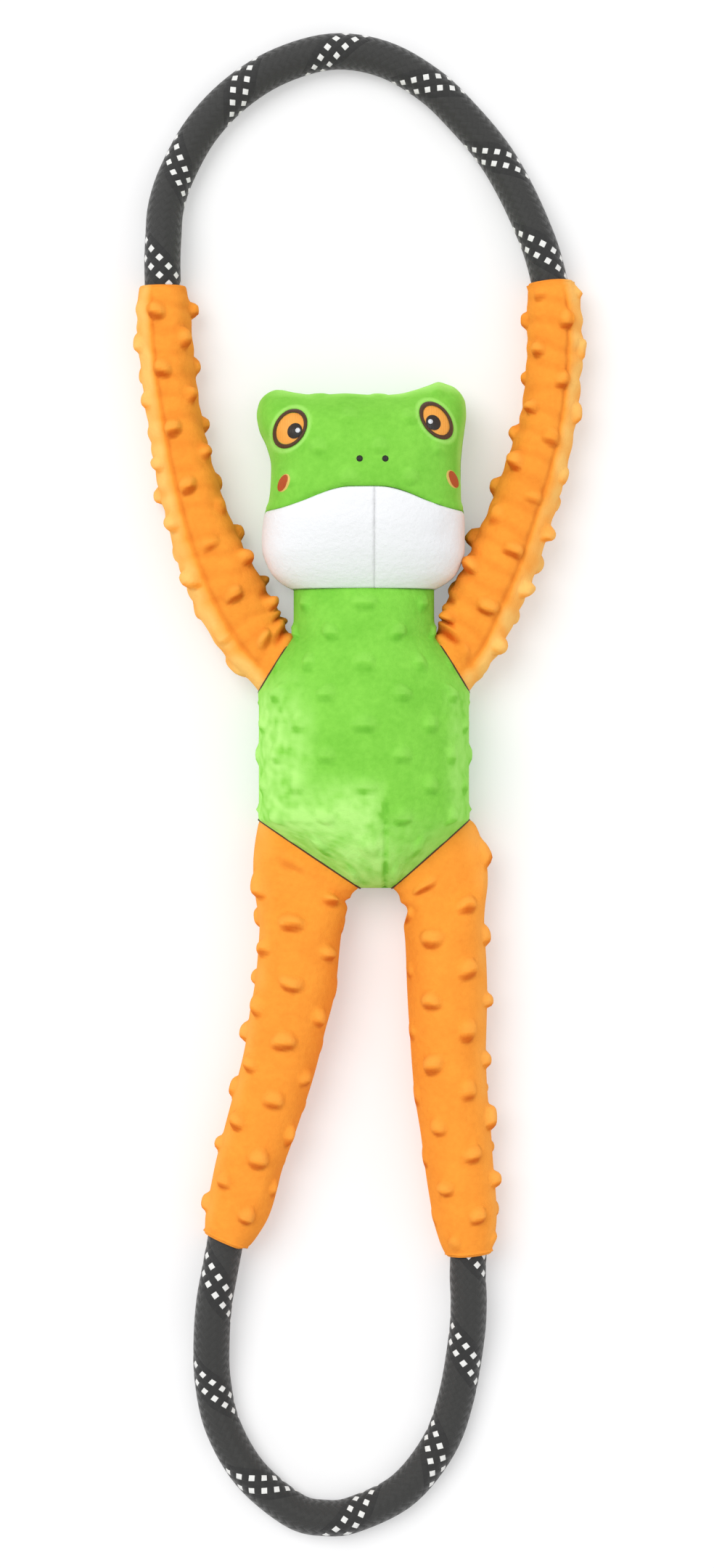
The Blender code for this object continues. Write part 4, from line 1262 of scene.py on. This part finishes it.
# Each limb's dots: the first column's angle, its twist along the limb, the gap between dots, the place of the
# first one, and the angle of the lengthwise seam. Angles are in degrees from the top.
limb_dot_rows = {
    "left_arm": (12, -30, 0.0240, 0.0095, -24),
    "right_arm": (-53, 21, 0.0240, 0.0045, 27),
    "left_leg": (-17, 37, 0.0243, 0.0050, 150),
    "right_leg": (-18, -12, 0.0252, 0.0110, 200),
}

# The folds at the arms' roots: how far along, at what angle, how wide in degrees, the lean and the depth.
limb_folds = {
    "left_arm": ((0.0050, 58, 44, -0.00003, 0.0024), (0.0150, 74, 34, 0, 0.0018), (0.030, 72, 34, 0, 0.0012)),
    "right_arm": (
        (0.0055, -50, 48, 0.00008, 0.0025), (0.0130, -66, 38, 0.00005, 0.0022), (0.026, -74, 30, 0, 0.0018),
    ),
}
for name, body, sign, away, route, half_width, tables, growth, short, corner in limbs:
    first_angle, twist, dot_gap, first_run, seam_angle = limb_dot_rows[name]
    folds = limb_folds.get(name, ())
    tuck_end = tuck_ends.get(name)
    mouth_y = mouth_planes[body] - away * short
    if body == "arms":
        inner = (middle_x + sign * neck_half_width, shoulder_y)
        outer = (middle_x + sign * torso_half_width, neck_y - side_drop)
    else:
        inner = (middle_x + tip_shift + sign * tip_half_width, tip_y)
        outer = (middle_x + sign * torso_half_width, neck_y - hip_drop)
    course = LimbCourse(inner, outer, route, half_width, tables)
    last_station = limb_stations - mouth_stations
    shares = [(k / last_station, 0) for k in range(last_station + 1)] + list(mouth_turns_in)

    square = Vector((-course.seam_across[1], course.seam_across[0], 0))
    square *= math.copysign(1, square.y * away)

    def tuck_in(point, across, wide):
        """Draws a leg's inner side in, just below the torso's tip."""
        if tuck_end:
            below = tip_y - point.y
            tuck = ramp(below, 0, tuck_start) * (1 - ramp(below, tuck_end / 2, tuck_end))
            point.x += sign * tuck_depth * tuck * max(-sign * across.x * wide, 0) ** 2

    def put_limb(station, turn):
        share, rolled = shares[station]
        centre, across, side, rise, depth = course.at(share)
        wide, up = rounded(2 * math.pi * turn, limb_roundness)
        if rolled:
            side = rise = depth = mouth_radius + (mouth_roll - mouth_radius) * rolled
        point = centre + across * side * wide
        point.z = max(point.z + up * (rise if up > 0 else depth), 0)
        fullness = min(share / corner_start_share, 1) * (1 - ramp(share, *corner_end_shares))
        point += across * corner * max(wide, 0) ** 2 * fullness
        if station == 0:
            point -= square * seam_lap
        tuck_in(point, across, wide)
        point.y = away * min(away * point.y, away * mouth_y)
        return point

    piece = swept(f"{name}_plush", limb_turns, len(shares), put_limb)
    face_outwards(piece, course.at(0.5)[0])
    mouth_points = set(range((len(shares) - mouth_stations - 1) * limb_turns, len(piece.data.vertices)))
    stuffed(piece, limb_cap, growth, sorted(set(edge_points(piece.data)) | mouth_points), limb_pressure)
    fine = smoothed(piece, 1)
    length = course.runs[-1]
    last_share = last_station / (len(shares) - 1)
    if body == "arms":
        first_run = length - short - first_run

    def limb_dots(point, around, along):
        run_share = along / last_share
        run = run_share * length
        angle = (math.degrees(2 * math.pi * (around % 1)) - 90) * -sign
        angle = (angle + 180) % 360 - 180
        fade = min(1, run / root_fade) ** 2 * min(1, max(0, (length - run) / mouth_fade)) ** 2
        ruffle = noise.noise(point * 90) * dot_stray
        column_degrees = arm_column_degrees if body == "arms" else leg_column_degrees
        column = (angle - first_angle - twist * run_share) / column_degrees + ruffle
        row = (first_run - run) / dot_gap + ruffle
        rise, shade = dot_at(column, -away * row, arm_dot_variety if body == "arms" else leg_dot_variety)
        outward = angle * sign
        if body == "legs":
            rise *= 1 - leg_smooth_share * ramp(-outward, *leg_smooth_angles)
        off = abs((angle - seam_angle + 180) % 360 - 180) / seam_half_degrees
        groove = max(0, 1 - off) ** 1.5
        height = rise * dot_rise * fade - seam_groove * groove * fade
        # Painted shade at each dot's foot and in the seam's groove, and painted highlight on each dot's top.
        shade = (shade * limb_foot_shade - rise * limb_dot_highlight + limb_seam_shade * groove) * fade
        # Painted highlight on the limb's outward side, in patches.
        pale = 0.5 + 0.5 * noise.noise(point * 120)
        if body == "legs":
            shade -= leg_side_highlight * pale * ramp(outward, *leg_highlight_angles)
        else:
            shade -= arm_side_highlight * pale * ramp(outward, *arm_highlight_angles)
            stray = gather_stray * noise.noise(point * 60) + angle / 40
            wave = math.sin(2 * math.pi * run / gather_run + stray)
            amount = gather_rise * (0.5 + 1.2 * max(0, noise.noise(point * 40 + Vector((5, 0, 0))))) * fade
            height += wave * amount
            shade += max(0, -wave) * gather_shade
        for fold_run, fold_angle, half_angle, lean, depth in folds:
            window = max(0, 1 - ((angle - fold_angle) / half_angle) ** 2)
            gone = (run - fold_run - lean * (angle - fold_angle)) / fold_half_width
            valley = math.exp(-gone * gone)
            ridge = math.exp(-(abs(gone) - fold_ridge_away) ** 2)
            height += depth * window * (fold_ridge_share * ridge - valley)
            shade += fold_shade * window * valley * depth / fold_full_depth
        return height, min(max(shade, -1), 1)

    raise_dots(fine, limb_dots)
    wall(piece)
    piece.data.materials.clear()
    piece.data.materials.append(orange_plush)
    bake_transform(piece)
    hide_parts(f"{name}_sleeve")

    end_point = rope_ends[body][0 if sign < 0 else 1]
    inside = [course.at(s)[0] for s, rolled in shares[8:] if not rolled]
    inside = [point for point in inside if away * (end_point[1] - point.y) > rope_step] + [end_point]
    inner_rope, _ = rope_tube(f"{name}_rope_inside", inside)
    inner_rope.data.materials.append(rope_braid)
    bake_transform(inner_rope)
    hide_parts(f"{name}_rope")

    def put_stuffing(station, turn):
        share = stuffing_start_share + stuffing_run_share * station / (stuffing_stations - 1)
        centre, across, side, rise, depth = course.at(share)
        wide, up = rounded(2 * math.pi * turn, limb_roundness)
        inset = max(min(side, rise) - stuffing_inset, rope_diameter / 2 + open_height)
        point = centre + across * (side - rise + inset if side > rise else inset) * wide
        tuck_in(point, across, wide * stuffing_tuck_share)
        point.z = max(point.z + up * (inset if up > 0 else min(inset, depth)), open_height)
        return point

    stuffing = swept(f"{name}_stuffing", 24, stuffing_stations, put_stuffing)
    stuffing.data.materials.append(filling_fluff)
    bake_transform(stuffing)
    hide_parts(f"{name}_filling")

    # Painted shade: a thin dark brown strip over the seam between the limb and the torso.
    def put_seam_shade_line(station, turn):
        angle = math.pi * station / (seam_shade_line_stations - 1)
        centre, across, side, rise, depth = course.at(0)
        wide, up = rounded(angle, limb_roundness)
        middle = centre + across * side * wide + Vector((0, 0, rise * up))
        around = 2 * math.pi * turn
        lean = (across * (math.cos(angle) * side) + Vector((0, 0, rise * math.sin(angle)))).normalized()
        beside = Vector((-across.y, across.x, 0))
        return middle + (lean * math.cos(around) + beside * math.sin(around)) * seam_shade_line

    seam = swept(f"{name}_seam_shade_line", 8, seam_shade_line_stations, put_seam_shade_line)
    seam.data.materials.append(brown_stitch)
    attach(seam, "torso")

# Inside the torso: more stuffing, the ends of the two ropes, the band that joins them and a squeaker.
# None of it shows. The band is woven tape, the bulb is soft rubber and its reed is hard plastic.


def plain_finish(name, colour, dark_colour, grain, roughness):
    """A plain finish with a fine grain of two tones."""
    made, tree, shader = new_finish(name, roughness)
    where = tree.nodes.new("ShaderNodeTexCoord")
    speckle = tree.nodes.new("ShaderNodeTexNoise")
    speckle.inputs["Scale"].default_value = grain
    tree.links.new(where.outputs["Object"], speckle.inputs["Vector"])
    tree.links.new(mix_colour(tree, speckle.outputs[0], colour, dark_colour), shader.inputs["Base Color"])
    return made


rope_core = plain_finish("rope_core", rope_colour, rope_dark_colour, fibre_scale, 0.8)
band_tape = plain_finish("band_tape", (0.10, 0.10, 0.10, 1), (0.04, 0.04, 0.04, 1), 900, 0.8)
bulb_rubber = plain_finish("bulb_rubber", (0.80, 0.80, 0.76, 1), (0.70, 0.70, 0.66, 1), 90, 0.45)
reed_plastic = plain_finish("reed_plastic", (0.62, 0.66, 0.70, 1), (0.56, 0.60, 0.64, 1), 120, 0.35)
for name, finish in (
    ("torso_filling", filling_fluff),
    ("left_torso_rope_upper", rope_core),
    ("left_torso_rope_lower", rope_core),
    ("right_torso_rope", rope_core),
    ("rope_joining_band", band_tape),
    ("squeaker_bulb", bulb_rubber),
    ("squeaker_reed", reed_plastic),
):
    inner_piece = frame["nodes"][name]
    inner_piece.data.materials.clear()
    inner_piece.data.materials.append(finish)
